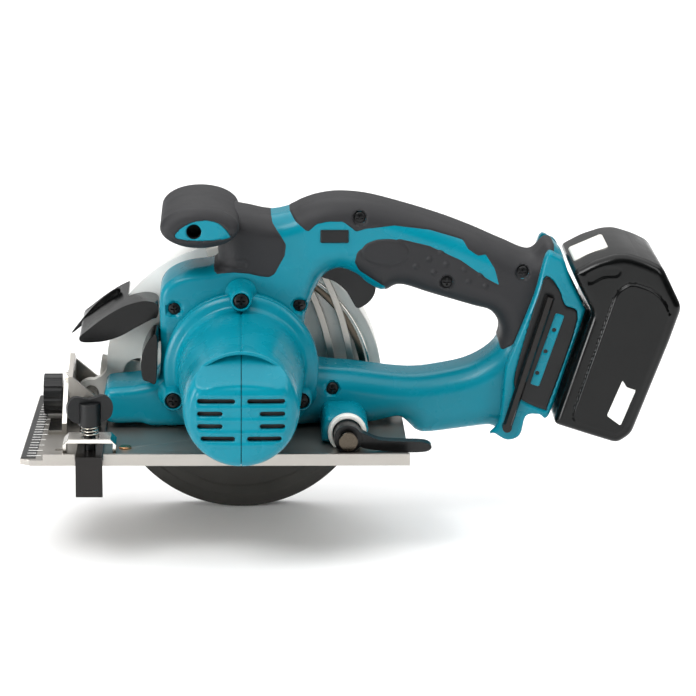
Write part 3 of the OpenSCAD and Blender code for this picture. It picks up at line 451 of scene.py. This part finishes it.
tealLoops = [splineLoop(bodyPoints), splineLoop(openingPoints)]
skinPiece("bodyShell", tealLoops, tealNear,
          lambda p, d: bodyLook["farY"] - bodyBack(p, d), tealAbs, "saw_body", spacing=1.3,
          replaces=("housing_left", "housing_right"), slot="teal_abs", crease=50)
print("body shell made")


# ---- rubber over the handle ----
handleRubber = gripRubberTop + [(78, 70), (100, 60), (136.5, 60), (140, 46), (146, 50), (150, 60), (156, 74),
                                (164.5, 89), (166, 96), (168, 110), (120, 130), (50, 140), (20, 130)]
neckRubber = [(-14, 88.5), (-4, 89.6), (4, 89), (10, 87.5), (15, 87), (18, 89), (23.3, 99), (24, 105),
              (21, 110), (16.5, 116), (14.6, 125), (-16, 130)]


def crossLoops(region, keep):
    # outline of what a region and the body share, walked round the triangles that lie in both
    region = evenLoop(region, 0.8)
    edges, start, points = [], 0, []
    for loop in [region] + keep:
        n = len(loop)
        points += [Vector(p) for p in loop]
        edges += [(start + i, start + (i + 1) % n) for i in range(n)]
        start += n
    made = geometry.delaunay_2d_cdt(points, edges, [], 0, 1e-4)
    verts = np.array([v[:] for v in made[0]])
    tris = np.array(made[2])
    middle = verts[tris].mean(1)
    tris = tris[isInside(middle, [region]) & isInside(middle, keep)]
    count = {}
    for a, b, c in tris:
        for i, j in ((a, b), (b, c), (c, a)):
            count[(i, j)] = count.get((i, j), 0) + 1
    follow = {i: j for (i, j) in count if (j, i) not in count}
    loops = []
    while follow:
        first = next(iter(follow))
        ring, at = [], first
        while at in follow:
            ring.append(at)
            at = follow.pop(at)
        if len(ring) > 12:
            loops.append(verts[ring])
    return loops


def raisedSkin(name, region, replaces=(), lift=0.45):
    edge = 0.9
    own = [evenLoop(loop, edge) for loop in crossLoops(np.array(region, float), bodyLoops)]

    def seam(depth):
        # rolls the rubber over towards its own edge
        width, height = 1.2, 0.85
        inner = np.minimum(depth, width)
        return height * (1 - np.sqrt(np.maximum(1 - (1 - inner / width) ** 2, 0)))

    def near(points, depth):
        return bodyLook["nearY"] + bodyBack(points) + seam(depth) + screwWells(points) - bumps(points)

    def far(points, depth):
        return bodyLook["farY"] - bodyBack(points) - seam(depth) + bumps(points)

    return skinPiece(name, own, near, far, rubber, "saw_body", spacing=0.7, insets=(0.2, 0.55, 1.1, 1.8), edge=edge,
                     lift=lift, replaces=replaces, slot="charcoal_rubber", crease=55)


rubberLook = {"dotHeight": 1.0, "dotTop": 0.5, "dotFoot": 1.7, "padRise": 0.35, "channel": 0.32, "channelWidth": 0.6,
              "frameRise": 0.4, "frameWidth": 0.45}
neckFrame = evenLoop(roundRect(-4.1, 94.2, 14.5, 4.6, 1.6), 0.5)
padLoop = circleLoop(padCentre[0], padCentre[1], 12.5, 60, 7.4)


def bumps(points):
    # raised dots, and a shallow channel round the raised oval thumb pad
    look = rubberLook
    out = np.zeros(len(points))
    for x, z in dots:
        away = np.hypot(points[:, 0] - x, points[:, 1] - z)
        out += look["dotHeight"] * (1 - blendStep(away, look["dotTop"], look["dotFoot"]))
    rim = edgeDistance(points, [padLoop])
    out += np.where(isInside(points, [padLoop]), look["padRise"] * blendStep(rim, 0, 1.0), 0)
    out -= look["channel"] * np.exp(-(rim / look["channelWidth"]) ** 2)
    # blank moulded frame on the neck
    out += look["frameRise"] * np.exp(-(edgeDistance(points, [neckFrame]) / look["frameWidth"]) ** 2)
    return out


raisedSkin("handleRubber", handleRubber, ("handle_rubber_left", "handle_rubber_right"))
raisedSkin("neckRubber", neckRubber, lift=0.35)
print("handle rubber made")

# ---- front grip ----
gripLook = {"x": -21.8, "z": 117.9, "rx": 20.7, "rz": 10.9, "nearY": -80.0, "farY": 4.0, "blunt": (6.5, 0.9),
            "taper": (10.8, 2.1), "seat": 1.1, "hole": (-24.7, 116.7), "holeR": 4.0}
gripLoop = circleLoop(gripLook["x"], gripLook["z"], gripLook["rx"], 90, gripLook["rz"])
gripHole = circleLoop(*gripLook["hole"], gripLook["holeR"], 30)
eyeLoop = splineLoop([(-34.5, 113.5), (-31, 119), (-22, 122.8), (-12, 121.5), (-5.5, 114), (-12, 112.3),
                      (-24, 111.8)], 6)


def gripBack(points, side):
    # the near end is blunt, the far end tapers
    radius, length = gripLook["blunt"] if side < 0 else gripLook["taper"]
    return rounded(radius)(edgeDistance(points, [gripLoop])) * length


def gripEnd(points, side):
    within = np.where(isInside(points, [eyeLoop]), edgeDistance(points, [eyeLoop]), -1)
    return gripBack(points, side) + gripLook["seat"] * blendStep(within, -0.1, 0.5)


skinPiece("frontGrip", [gripLoop, gripHole], lambda p, d: gripLook["nearY"] + gripEnd(p, -1),
          lambda p, d: gripLook["farY"] - gripEnd(p, 1), rubber, "saw_body", spacing=0.9,
          insets=(0.1, 0.35, 0.8, 1.5, 2.4, 3.6), replaces=("front_grip",), slot="charcoal_rubber", crease=50)
for side, base in ((-1, gripLook["nearY"]), (1, gripLook["farY"])):
    def eyeFace(points, depth, side=side, base=base):
        return base - side * (gripBack(points, side) + 0.15 + 0.5 * (1 - blendStep(depth, 0, 0.6)))

    def eyeBack(points, depth, side=side, base=base):
        return base - side * (gripBack(points, side) + 1.6)

    skinPiece("eyeInsert" + ("Near" if side < 0 else "Far"), [eyeLoop, gripHole], eyeFace, eyeBack, tealAbs,
              "saw_body", spacing=0.8, insets=(0.12, 0.3, 0.6, 1.0), slot="teal_abs",
              replaces=("front_grip_inserts",) if side < 0 else ())
# painted shade: a black plug deep in the grip's hole, standing for the dark of its depth
verts, faces = turned([(0.01, -66), (4.15, -66), (4.15, -10), (0.01, -10)], gripLook["hole"], 32)
meshPiece("gripHoleShade", verts, faces, paintedShadeBlack, "saw_body")
print("front grip made")

# ---- motor ----
motorLook = {"flatZ": 4.7, "endR": 30.0, "segments": 240, "seamDepth": 0.8, "seamWidth": 0.9, "wall": 2.2,
             "halfGap": 0.22, "ventShade": (2.7, 3.4)}
# flange step, groove, shoulder and tapering barrel as (radius, Y)
barrelProfile = roundSection([(36.5, -56.9), (41.5, -56.9), (41.5, -60.4), (40.3, -60.9), (40.3, -61.6),
                              (41.3, -62.0), (41.3, -64.2), (39.2, -65.6), (35.6, -66.8), (33.8, -69.4),
                              (33.2, -76), (32.2, -95), (31.2, -112), (30.3, -128), (30, -139.4), (28, -139.4),
                              (29, -112), (31, -76), (33, -66), (36.5, -64)], 0.9, 4)


def barrelSeam(r, y, a):
    # a fine parting line along the top and the underside
    gap = np.minimum(np.abs(np.degrees(a) - 90), np.abs(np.degrees(a) - 270))
    outside = (r > 29.5) & (y > -139) & (y < -66)
    return r - np.where(outside, motorLook["seamDepth"] * np.exp(-(gap / motorLook["seamWidth"]) ** 2), 0), y


verts = turned(barrelProfile, motorAt, motorLook["segments"], barrelSeam)[0]
# closes the section back to its first ring, and cuts the flange flat over the base
faces = gridFaces(len(barrelProfile), motorLook["segments"], wrapRows=True)
verts[:, 2] = np.maximum(verts[:, 2], motorLook["flatZ"])
meshPiece("motorBarrel", verts, faces, tealAbs, "saw_body", replaces=("motor_housing",), slot="teal_abs", crease=60)


ventLook = {"top": 6.5, "pitch": 6.6, "height": 2.7, "round": 1.3, "inner": (3.0, 9.4, 9.4, 3.0),
            "reach": (22.4, 22.4, 22.4, 20.6), "lip": 0.35}


def ventSlots():
    loops = []
    for row, (inner, reach) in enumerate(zip(ventLook["inner"], ventLook["reach"])):
        z = motorAt[1] + ventLook["top"] - row * ventLook["pitch"]
        for side in (-1, 1):
            loops.append(roundRect(side * (inner + reach) / 2, z, reach - inner, ventLook["height"],
                                   ventLook["round"]))
    return loops


vents = ventSlots()


# the end's rounding as distance from its rim and Y, then the facet, its ridge and the ribs
capLook = {"rim": [0, 0.3, 1.0, 2.2, 4, 7, 12, 30],
           "y": [-139.2, -143.2, -145.9, -147.9, -149.4, -150.3, -150.8, -151],
           "facetY": -150.6, "facetZ": 50.5, "facetSlope": 1.12, "facetBlend": 0.7, "ridgeZ": 52.9, "ridgeSag": 1.6,
           "ridgeHalf": 17.5, "ridgeEnd": (14, 18), "ridgeHeight": 1.1, "ridgeWidth": 0.9, "ribTop": 9.8,
           "ribHeight": 0.45, "ribWidth": 1.0, "ribHalf": 23, "ribR": 24.5}


def capNear(points, depth):
    look = capLook
    r = np.hypot(points[:, 0] - motorAt[0], points[:, 1] - motorAt[1])
    out = np.interp(motorLook["endR"] - r, look["rim"], look["y"])
    # slanted facet over the rows of slots, blended softly into the end
    facet = look["facetY"] + look["facetSlope"] * (points[:, 1] - look["facetZ"])
    soft = look["facetBlend"]
    out = np.maximum(out, facet) + soft * np.log1p(np.exp(-np.abs(out - facet) / soft))
    # crescent ridge across the foot of the facet
    sag = points[:, 1] - (look["ridgeZ"] - look["ridgeSag"] * (points[:, 0] / look["ridgeHalf"]) ** 2)
    ends = 1 - blendStep(np.abs(points[:, 0]), *look["ridgeEnd"])
    out -= ends * look["ridgeHeight"] * np.exp(-(sag / look["ridgeWidth"]) ** 2)
    # raised ribs over, between and under the rows of slots
    onRibs = (np.abs(points[:, 0]) < look["ribHalf"]) * (r < look["ribR"])
    for row in range(len(ventLook["reach"]) + 1):
        z = motorAt[1] + look["ribTop"] - row * ventLook["pitch"]
        out -= look["ribHeight"] * np.exp(-((points[:, 1] - z) / look["ribWidth"]) ** 2) * onRibs
    # rounded lips of the slots; the last term keeps the ribs inside the motor's length
    out += ventLook["lip"] * (1 - blendStep(edgeDistance(points, vents), 0, 0.5))
    return out + look["ribHeight"]


# the end is moulded in two halves, with a fine gap down the middle
for side in (-1, 1):
    a = np.radians(np.linspace(-90, 90, 75))
    half = np.column_stack([side * np.maximum(motorLook["endR"] * np.cos(a), motorLook["halfGap"]),
                            motorAt[1] + motorLook["endR"] * np.sin(a)])
    own = [loop for loop in vents if loop[:, 0].mean() * side > 0]
    skinPiece("motorCap" + ("Front" if side < 0 else "Rear"), [half] + own, capNear,
              lambda p, d: capNear(p, d) + motorLook["wall"], tealAbs, "saw_body", spacing=0.7,
              insets=(0.12, 0.35, 0.7), edge=0.6, slot="teal_abs", crease=50)
# painted shade: a flat black sheet behind the slots, standing for the unlit inside of the motor
skinPiece("motorVentShade", [circleLoop(motorAt[0], motorAt[1], 27.2, 90)],
          lambda p, d: capNear(p, d) + motorLook["ventShade"][0], lambda p, d: capNear(p, d) + motorLook["ventShade"][1],
          paintedShadeBlack, "saw_body", spacing=1.2, insets=(0.3,))
# three screw lugs on the flange, as (radius, Y), with the place of each from the motor's axis
lugProfile = [(0.02, -72.5), (4.3, -72.5), (4.35, -74.7), (4.6, -75.1), (5.0, -75.1), (5.5, -74.5), (6.2, -66),
              (7.2, -61), (8.6, -58.5), (0.02, -57.1)]
lugSpots = [(x, motorAt[1] + dz) for x, dz in ((0, 40.5), (-36, -14), (32, -14))]
for k, spot in enumerate(lugSpots):
    verts, faces = turned(lugProfile, spot, 48)
    meshPiece("motorLug%d" % k, verts, faces, tealAbs, "saw_body", slot="teal_abs", crease=40)


screwLook = {"arm": 0.58, "half": 0.13, "crown": 0.9, "edge": 0.5, "recess": 1.1, "thick": 2.4}


def crossScrew(name, x, z, y, radius, replaces=()):
    # a pan head with a cross recess
    look = screwLook
    ring = circleLoop(x, z, radius, 48)
    arm = radius * look["arm"]
    half = radius * look["half"]
    cross = np.array([(half, half), (half, arm), (-half, arm), (-half, half), (-arm, half), (-arm, -half),
                      (-half, -half), (-half, -arm), (half, -arm), (half, -half), (arm, -half), (arm, half)])
    cross = cross + [x, z]

    def head(points, depth):
        r = np.hypot(points[:, 0] - x, points[:, 1] - z) / radius
        within = np.where(isInside(points, [cross]), edgeDistance(points, [cross]), 0)
        dip = look["recess"] * blendStep(within, 0, 0.25)
        return y + look["crown"] * r ** 2 + look["edge"] * (1 - blendStep(radius * (1 - r), 0, 0.5)) + dip

    return skinPiece(name, [ring], head, lambda p, d: np.full(len(p), y + look["thick"]), blackNylon, "saw_body",
                     spacing=0.3, insets=(0.12, 0.3), edge=0.5, replaces=replaces, crease=45)


for k, (x, z) in enumerate(lugSpots):
    crossScrew("motorScrew%d" % k, x, z, -75.2, 4.1, ("motor_screws",) if k == 0 else ())
for k, (x, z) in enumerate(screwSpots):
    face = bodyLook["nearY"] + float(bodyBack(np.array([[x, z]]))[0])
    crossScrew("shellScrew%d" % k, x, z, face + 0.9, 3.5, ("housing_screws",) if k == 0 else ())
print("motor made")

# ---- battery and its mount ----
lean = math.radians(17.5)
foot = (165.5, 12.0)


def onMount(points):
    p = np.array(points, float)
    return np.column_stack([foot[0] + p[:, 0] * math.cos(lean) + p[:, 1] * math.sin(lean),
                            foot[1] - p[:, 0] * math.sin(lean) + p[:, 1] * math.cos(lean)])


packLook = {"nearY": -75.4, "farY": -0.6, "round": 4.6, "panel": 0.95, "panelEdge": 1.1, "groove": 0.5,
            "grooveWidth": 0.6, "latch": 0.5, "seat": 0.9, "inkOut": 0.12, "inkIn": 0.3}
packCorners = [(1.7, -1.0), (20, -1.2), (38, -1.2), (43.6, 6), (46.1, 60), (46.3, 80), (29.4, 97.6), (20, 99),
               (9, 99), (2.5, 96.6), (-6.9, 89.7), (-15.4, 80.9), (-11.6, 76.2), (1.7, 63.2)]
packLoop = onMount(roundSection(packCorners, 3.2, 5))
packPanel = onMount(roundSection([(9, 3.2), (36, 2.6), (40.2, 9), (42.6, 60), (42.3, 75.5), (30.5, 85.5), (15, 85.5),
                                  (9.4, 78)], 7, 7))
packLatch = onMount(splineLoop([(-8, 82), (-1, 88), (8, 91), (8, 86), (1, 83), (-5, 77.5)], 4))


def packFace(points):
    # how far the face lies back from its foremost level: raised panel with a groove round it, sunken latch
    look = packLook
    gap = edgeDistance(points, [packPanel])
    lifted = np.where(isInside(points, [packPanel]), blendStep(gap, 0, look["panelEdge"]), 0)
    lifted = lifted - look["groove"] * np.exp(-((gap - 0.1) / look["grooveWidth"]) ** 2)
    latch = np.where(isInside(points, [packLatch]), blendStep(edgeDistance(points, [packLatch]), 0, 0.7), 0)
    return -look["panel"] * lifted + look["latch"] * latch


def packNear(points, depth):
    return packLook["nearY"] + packLook["seat"] + rounded(packLook["round"])(depth) + packFace(points)


def packFar(points, depth):
    return packLook["farY"] - packLook["seat"] - rounded(packLook["round"])(depth) - packFace(points)


skinPiece("packCase", [packLoop], packNear, packFar, glossBlack, "battery", spacing=0.62,
          insets=(0.08, 0.25, 0.6, 1.1, 1.8, 2.8, 4.0, 5.6), edge=0.9, replaces=("battery_case",),
          slot="gloss_black", crease=50)
stripe = onMount(roundSection([(27.0, 12.5), (35.8, 9.5), (37.2, 30.5), (32.0, 30.5), (28.6, 33.5)], 0.6, 3))
packEdge = [evenLoop(packLoop, 1)]
for side, shape in ((-1, packNear), (1, packFar)):
    skinPiece("packStripe" + ("Near" if side < 0 else "Far"), [stripe],
              lambda p, d: shape(p, edgeDistance(p, packEdge)) + side * packLook["inkOut"],
              lambda p, d: shape(p, edgeDistance(p, packEdge)) - side * packLook["inkIn"],
              whiteInk, "battery", spacing=2, insets=(0.3,), slot="grey_button")
softened("battery_button", greyNylon, "battery_release", 1.6, steps=4)
panelPoints = [(162, 90), (157.5, 78), (154, 66), (146.5, 37), (146.5, 27), (150, 21), (162.5, 15.5),
               (165, 19), (179.5, 66), (172.5, 74), (169, 83)]
mountPoints = [(134, 2), (139, 10), (141, 36), (144, 46), (156, 78), (162, 101), (168, 100.5), (171.2, 98.4),
               (173.1, 93.2), (175.4, 87.1), (182.6, 72.5), (182.9, 68.4), (174.2, 40.5), (165.2, 12.4),
               (160, 13), (153, 12), (150, 1.5), (143, -1.3), (136, 2.5)]
mountLoop = splineLoop(mountPoints, 4)
panelLoop = splineLoop(panelPoints, 4)
mountLook = {"near": -64.0, "far": -12.0, "round": 2.2, "seat": 1.1, "thick": 6.2, "panelOut": 0.15, "panelIn": 1.0,
             "stripOut": 0.55, "stripIn": 0.2}
for side, base in ((-1, mountLook["near"]), (1, mountLook["far"])):
    def plateOut(points, depth):
        within = np.where(isInside(points, [panelLoop]), edgeDistance(points, [panelLoop]), 0)
        return base - side * (rounded(mountLook["round"])(depth) + mountLook["seat"] * blendStep(within, 0, 0.4))

    def plateIn(points, depth):
        return np.full(len(points), base - side * mountLook["thick"])

    skinPiece("mountPlate" + ("Near" if side < 0 else "Far"), [mountLoop], plateOut, plateIn, tealAbs, "saw_body",
              spacing=1.1, insets=(0.15, 0.4, 0.8, 1.5), slot="teal_abs", crease=50)
    innerLoop = panelLoop + (panelLoop.mean(0) - panelLoop) * 0.015
    skinPiece("mountPanel" + ("Near" if side < 0 else "Far"), [innerLoop],
              lambda p, d: base + side * mountLook["panelOut"] - side * rounded(0.7)(d),
              lambda p, d: np.full(len(p), base - side * mountLook["panelIn"]), blackNylon, "saw_body", spacing=1.5,
              insets=(0.1, 0.3, 0.6), replaces=("mount_panel_left",) if side < 0 else ("mount_panel_right",),
              slot="charcoal_rubber", crease=50)
    strip = evenLoop(roundSection([(167.4, 69.5), (172.2, 68.0), (159.4, 28.9), (154.6, 30.4)], 0.8, 3), 0.7)
    dotLoops = [circleLoop(x, z, 1.15, 20) for x, z in ((166.8, 60.2), (162.5, 48.4), (158.3, 36.5))]
    skinPiece("mountStrip" + ("Near" if side < 0 else "Far"), [strip] + dotLoops,
              lambda p, d: base + side * mountLook["stripOut"] - side * rounded(0.4)(d),
              lambda p, d: np.full(len(p), base - side * mountLook["stripIn"]), tealAbs, "saw_body", spacing=1.2,
              insets=(0.1, 0.3), edge=0.6, slot="teal_abs")
softened("hex_wrench", blackOxide, "wrench", 0.25)
print("battery made")

# ---- cast case, covers and lower guard ----
softened("gear_case", castSilver, "saw_body", 0.5)
bandLook = (("caseBandOuter", 77.9, 72.6, -15.6, castSilver), ("caseBandLight", 72.4, 70.6, -15.2, brightSteel),
            ("caseBandDark", 70.4, 66.2, -15.1, darkSteel))
for name, outer, inner, y, material in bandLook:
    section = roundSection([(outer - 0.5, y), (inner, y), (inner, -12.6), (outer - 0.5, -12.6)], 0.5, 3)
    verts, faces = sweptArc(section, 4.5, 59.5, arbor, 90)
    meshPiece(name, verts, faces, material, "saw_body", crease=50)
softened("chip_cover", clearCover, "saw_body", 0.3)
softened("chip_deflector", glossBlack, "saw_body", 0.9, steps=4)
softened("lamp_housing", glossBlack, "saw_body", 1.6, steps=4)
softened("lamp_lens", clearCover, "saw_body", 0.3)
guardSection = [(22, -6.5), (60.5, -6.5), (61.3, -6.05), (66.2, -6.05), (67, -6.5), (72.8, -6.5), (72.8, 6.5),
                (44, 6.5), (44, 5), (71.3, 5), (71.3, -5), (22, -5)]
verts, faces = sweptArc(roundSection(guardSection, 0.8, 4), 172.2, 349.8, arbor, 170)
meshPiece("guardShell", verts, faces, guardPaint, "guard", replaces=("lower_guard",), slot="guard_dark", crease=50)
verts, faces = turned(roundSection([(17.1, -7.8), (22.5, -7.8), (22.5, -5), (17.1, -5)], 0.3, 3), arbor, 96)
meshPiece("guardHub", verts, gridFaces(12, 96, wrapRows=True), guardPaint, "guard", slot="guard_dark")
softened("saw_blade", bladeSteel, "blade_spindle", 0.1, steps=1)
print("guards made")

# ---- base and its hardware ----
# CAD part, finish, body, width of the rounded edges and slot
softParts = (("base_plate", plateSteel, "base", 0.7, "base_steel"),
             ("base_scale", scaleFilm, "base", 0.1, "guard_dark"),
             ("bevel_quadrant", brightSteel, "base", 0.7, "base_steel"),
             ("rear_hinge_lug", brightSteel, "base", 0.6, "base_steel"),
             ("guide_clamp", brightSteel, "base", 0.7, "base_steel"),
             ("sight_rivet", copperRivet, "base", 0.4, "copper"),
             ("wing_spring", brightSteel, "base", 0, "base_steel"),
             ("guide_rule", blackOxide, "rule", 0.5, "dark_steel"),
             ("depth_bracket", plateSteel, "depth_frame", 0.6, "base_steel"),
             ("depth_guide", plateSteel, "depth_frame", 0.5, "base_steel"),
             ("depth_bolt", darkSteel, "saw_body", 0.4, "base_steel"),
             ("bevel_knob", blackNylon, "bevel_clamp", 0.6, "black_plastic"),
             ("trigger", blackNylon, "trigger_body", 2.2, "black_plastic"),
             ("lock_off_button", blackNylon, "lock_off", 0.7, "black_plastic"),
             ("shaft_lock", blackNylon, "lock_pin", 0.5, "black_plastic"),
             ("depth_lever", blackNylon, "depth_clamp", 1.2, "black_plastic"),
             ("wing_bolt", blackNylon, "rule_clamp", 0.9, "black_plastic"),
             ("arbor_bolt", darkSteel, "blade_spindle", 0.4, "dark_steel"),
             ("outer_flange", darkSteel, "blade_spindle", 0.4, "dark_steel"))
for node, material, body, width, slot in softParts:
    softened(node, material, body, width, steps=3)
# boss of the depth bolt on the near side
bossLoop = splineLoop([(42.6, 6.2), (45, 4.7), (62, 4.7), (66.5, 8), (67, 13), (62, 18.3), (52, 18.8),
                       (44.5, 17.6)], 5)
skinPiece("depthBoss", [bossLoop], lambda p, d: -88 + rounded(3.0)(d), lambda p, d: np.full(len(p), -56.5), tealAbs,
          "saw_body", spacing=1.0, insets=(0.15, 0.4, 0.9, 1.6), slot="teal_abs")
ringSection = roundSection([(7.9, -93.2), (10.2, -93.2), (10.2, -88.1), (7.9, -88.1)], 0.7, 3)
verts, faces = sweptArc(ringSection, -60, 230, (56, 11), 70)
meshPiece("ivoryRing", verts, faces, ivoryRing, "saw_body", crease=50)


def boxSet(name, boxes, material, body):
    # thin printed or stamped marks as one mesh of small blocks
    verts, faces = [], []
    for (x0, y0, z0), (x1, y1, z1) in boxes:
        n = len(verts)
        verts += [(x, y, z) for x in (x0, x1) for y in (y0, y1) for z in (z0, z1)]
        faces += [tuple(n + k for k in f) for f in ((0, 1, 3, 2), (4, 6, 7, 5), (0, 4, 5, 1), (2, 3, 7, 6),
                                                    (0, 2, 6, 4), (1, 5, 7, 3))]
    return meshPiece(name, verts, faces, material, body)


# white ticks along the slightly slanted strip, long and short in turn
tickLook = {"first": -108, "pitch": 5, "count": 24, "start": -111.8, "slant": 0.0245, "long": 7.5, "short": 4.5,
            "width": 0.7, "z": (3.38, 3.46)}
scaleMarks = []
for k in range(tickLook["count"]):
    y = tickLook["first"] + k * tickLook["pitch"]
    left = tickLook["start"] + (y + 111) * tickLook["slant"]
    right = left + (tickLook["long"] if k % 2 == 0 else tickLook["short"])
    scaleMarks.append(((left, y, tickLook["z"][0]), (right, y + tickLook["width"], tickLook["z"][1])))
boxSet("scaleMarks", scaleMarks, whiteInk, "base")
rimMarks = [((x, -115.06, 1.2 if x % 50 == 0 else 2.6), (x + 0.35, -114.98, 5.2)) for x in range(-50, 86, 5)]
boxSet("rimMarks", rimMarks, plateSteel, "base")
print("base made")

# ---- materials on the parts shown as they were drawn ----
finishes = {"armature": windings, "brush_holders": copperRivet, "battery_cells": cellSleeve, "motor_fan": greyNylon,
            "trigger_switch": blackNylon, "terminal_block": blackNylon}
for node in ("spindle", "spindle_gear", "spindle_bearings", "rotor_bearings", "motor_pinion", "guard_spring",
             "inner_flange", "gear_cover"):
    finishes[node] = brightSteel
for node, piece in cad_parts.items():
    if not piece.hide_render:
        piece.data.materials.clear()
        piece.data.materials.append(finishes.get(node, darkSteel))

# ---- floor, light and camera ----
low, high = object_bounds()
bpy.ops.mesh.primitive_plane_add(size=8, location=(0, 0, low[2] - 0.0002))
floor = bpy.context.object
floor.name = "floor"
floor.data.materials.append(surface("paleFloor", "#FFFFFF", 0.6))


def softLight(name, place, target, size, power):
    data = bpy.data.lights.new(name, "AREA")
    data.shape = "RECTANGLE"
    data.size, data.size_y = size
    data.energy = power
    lamp = bpy.data.objects.new(name, data)
    lamp.location = place
    lamp.rotation_euler = (Vector(target) - Vector(place)).to_track_quat("-Z", "Y").to_euler()
    bpy.context.scene.collection.objects.link(lamp)


softLight("roofLight", (0.3, 0.4, 3.2), (0.1, 0, 0), (5.5, 5.5), 175)
softLight("keyLight", (-0.8, -1.3, 1.7), (0.03, -0.03, 0.05), (0.9, 0.7), 25)
softLight("sideLight", (1.2, -0.9, 0.9), (0.05, 0, 0.05), (0.35, 0.9), 6)
softLight("lowLight", (-1.3, -0.9, 0.25), (0.0, 0, 0.05), (0.5, 0.5), 13)

world = bpy.data.worlds.new("studio")
bpy.context.scene.world = world
world.use_nodes = True
# a dim room on the near side and a bright one overhead and behind, so that black plastic keeps its depth
room = world.node_tree
direction = addNode(room, "ShaderNodeTexCoord")
slope = addNode(room, "ShaderNodeVectorMath", {"operation": "DOT_PRODUCT"})
room.links.new(direction.outputs["Generated"], slope.inputs[0])
slope.inputs[1].default_value = (-0.1, 0.45, 0.85)
bright = addNode(room, "ShaderNodeMapRange", {"interpolation_type": "SMOOTHSTEP", "From Min": -0.25,
                                              "From Max": 0.65, "To Min": 0.02, "To Max": 0.5},
                 Value=slope.outputs["Value"])
room.links.new(bright.outputs[0], room.nodes["Background"].inputs["Strength"])
room.nodes["Background"].inputs["Color"].default_value = (1, 1, 1, 1)

cameraLook = {"sensor": 36, "lens": 165.6, "place": (-0.00166, -1.71443, 0.4770), "tilt": 14.5, "swing": 110 / 3200}
cameraData = bpy.data.cameras.new("camera")
cameraData.sensor_width = cameraLook["sensor"]
cameraData.lens = cameraLook["lens"]
camera = bpy.data.objects.new("camera", cameraData)
place = Vector(cameraLook["place"])
tilt = math.radians(cameraLook["tilt"])
forward = Vector((cameraLook["swing"], math.cos(tilt), -math.sin(tilt))).normalized()
across = Vector((1, 0, 0))
across = (across - forward * across.dot(forward)).normalized()
upward = across.cross(forward)
turn = Matrix((across, upward, -forward)).transposed().to_4x4()
camera.matrix_world = Matrix.Translation(place) @ turn
bpy.context.scene.collection.objects.link(camera)
bpy.context.scene.camera = camera
bpy.context.scene.view_settings.view_transform = "Standard"
print("stage made")
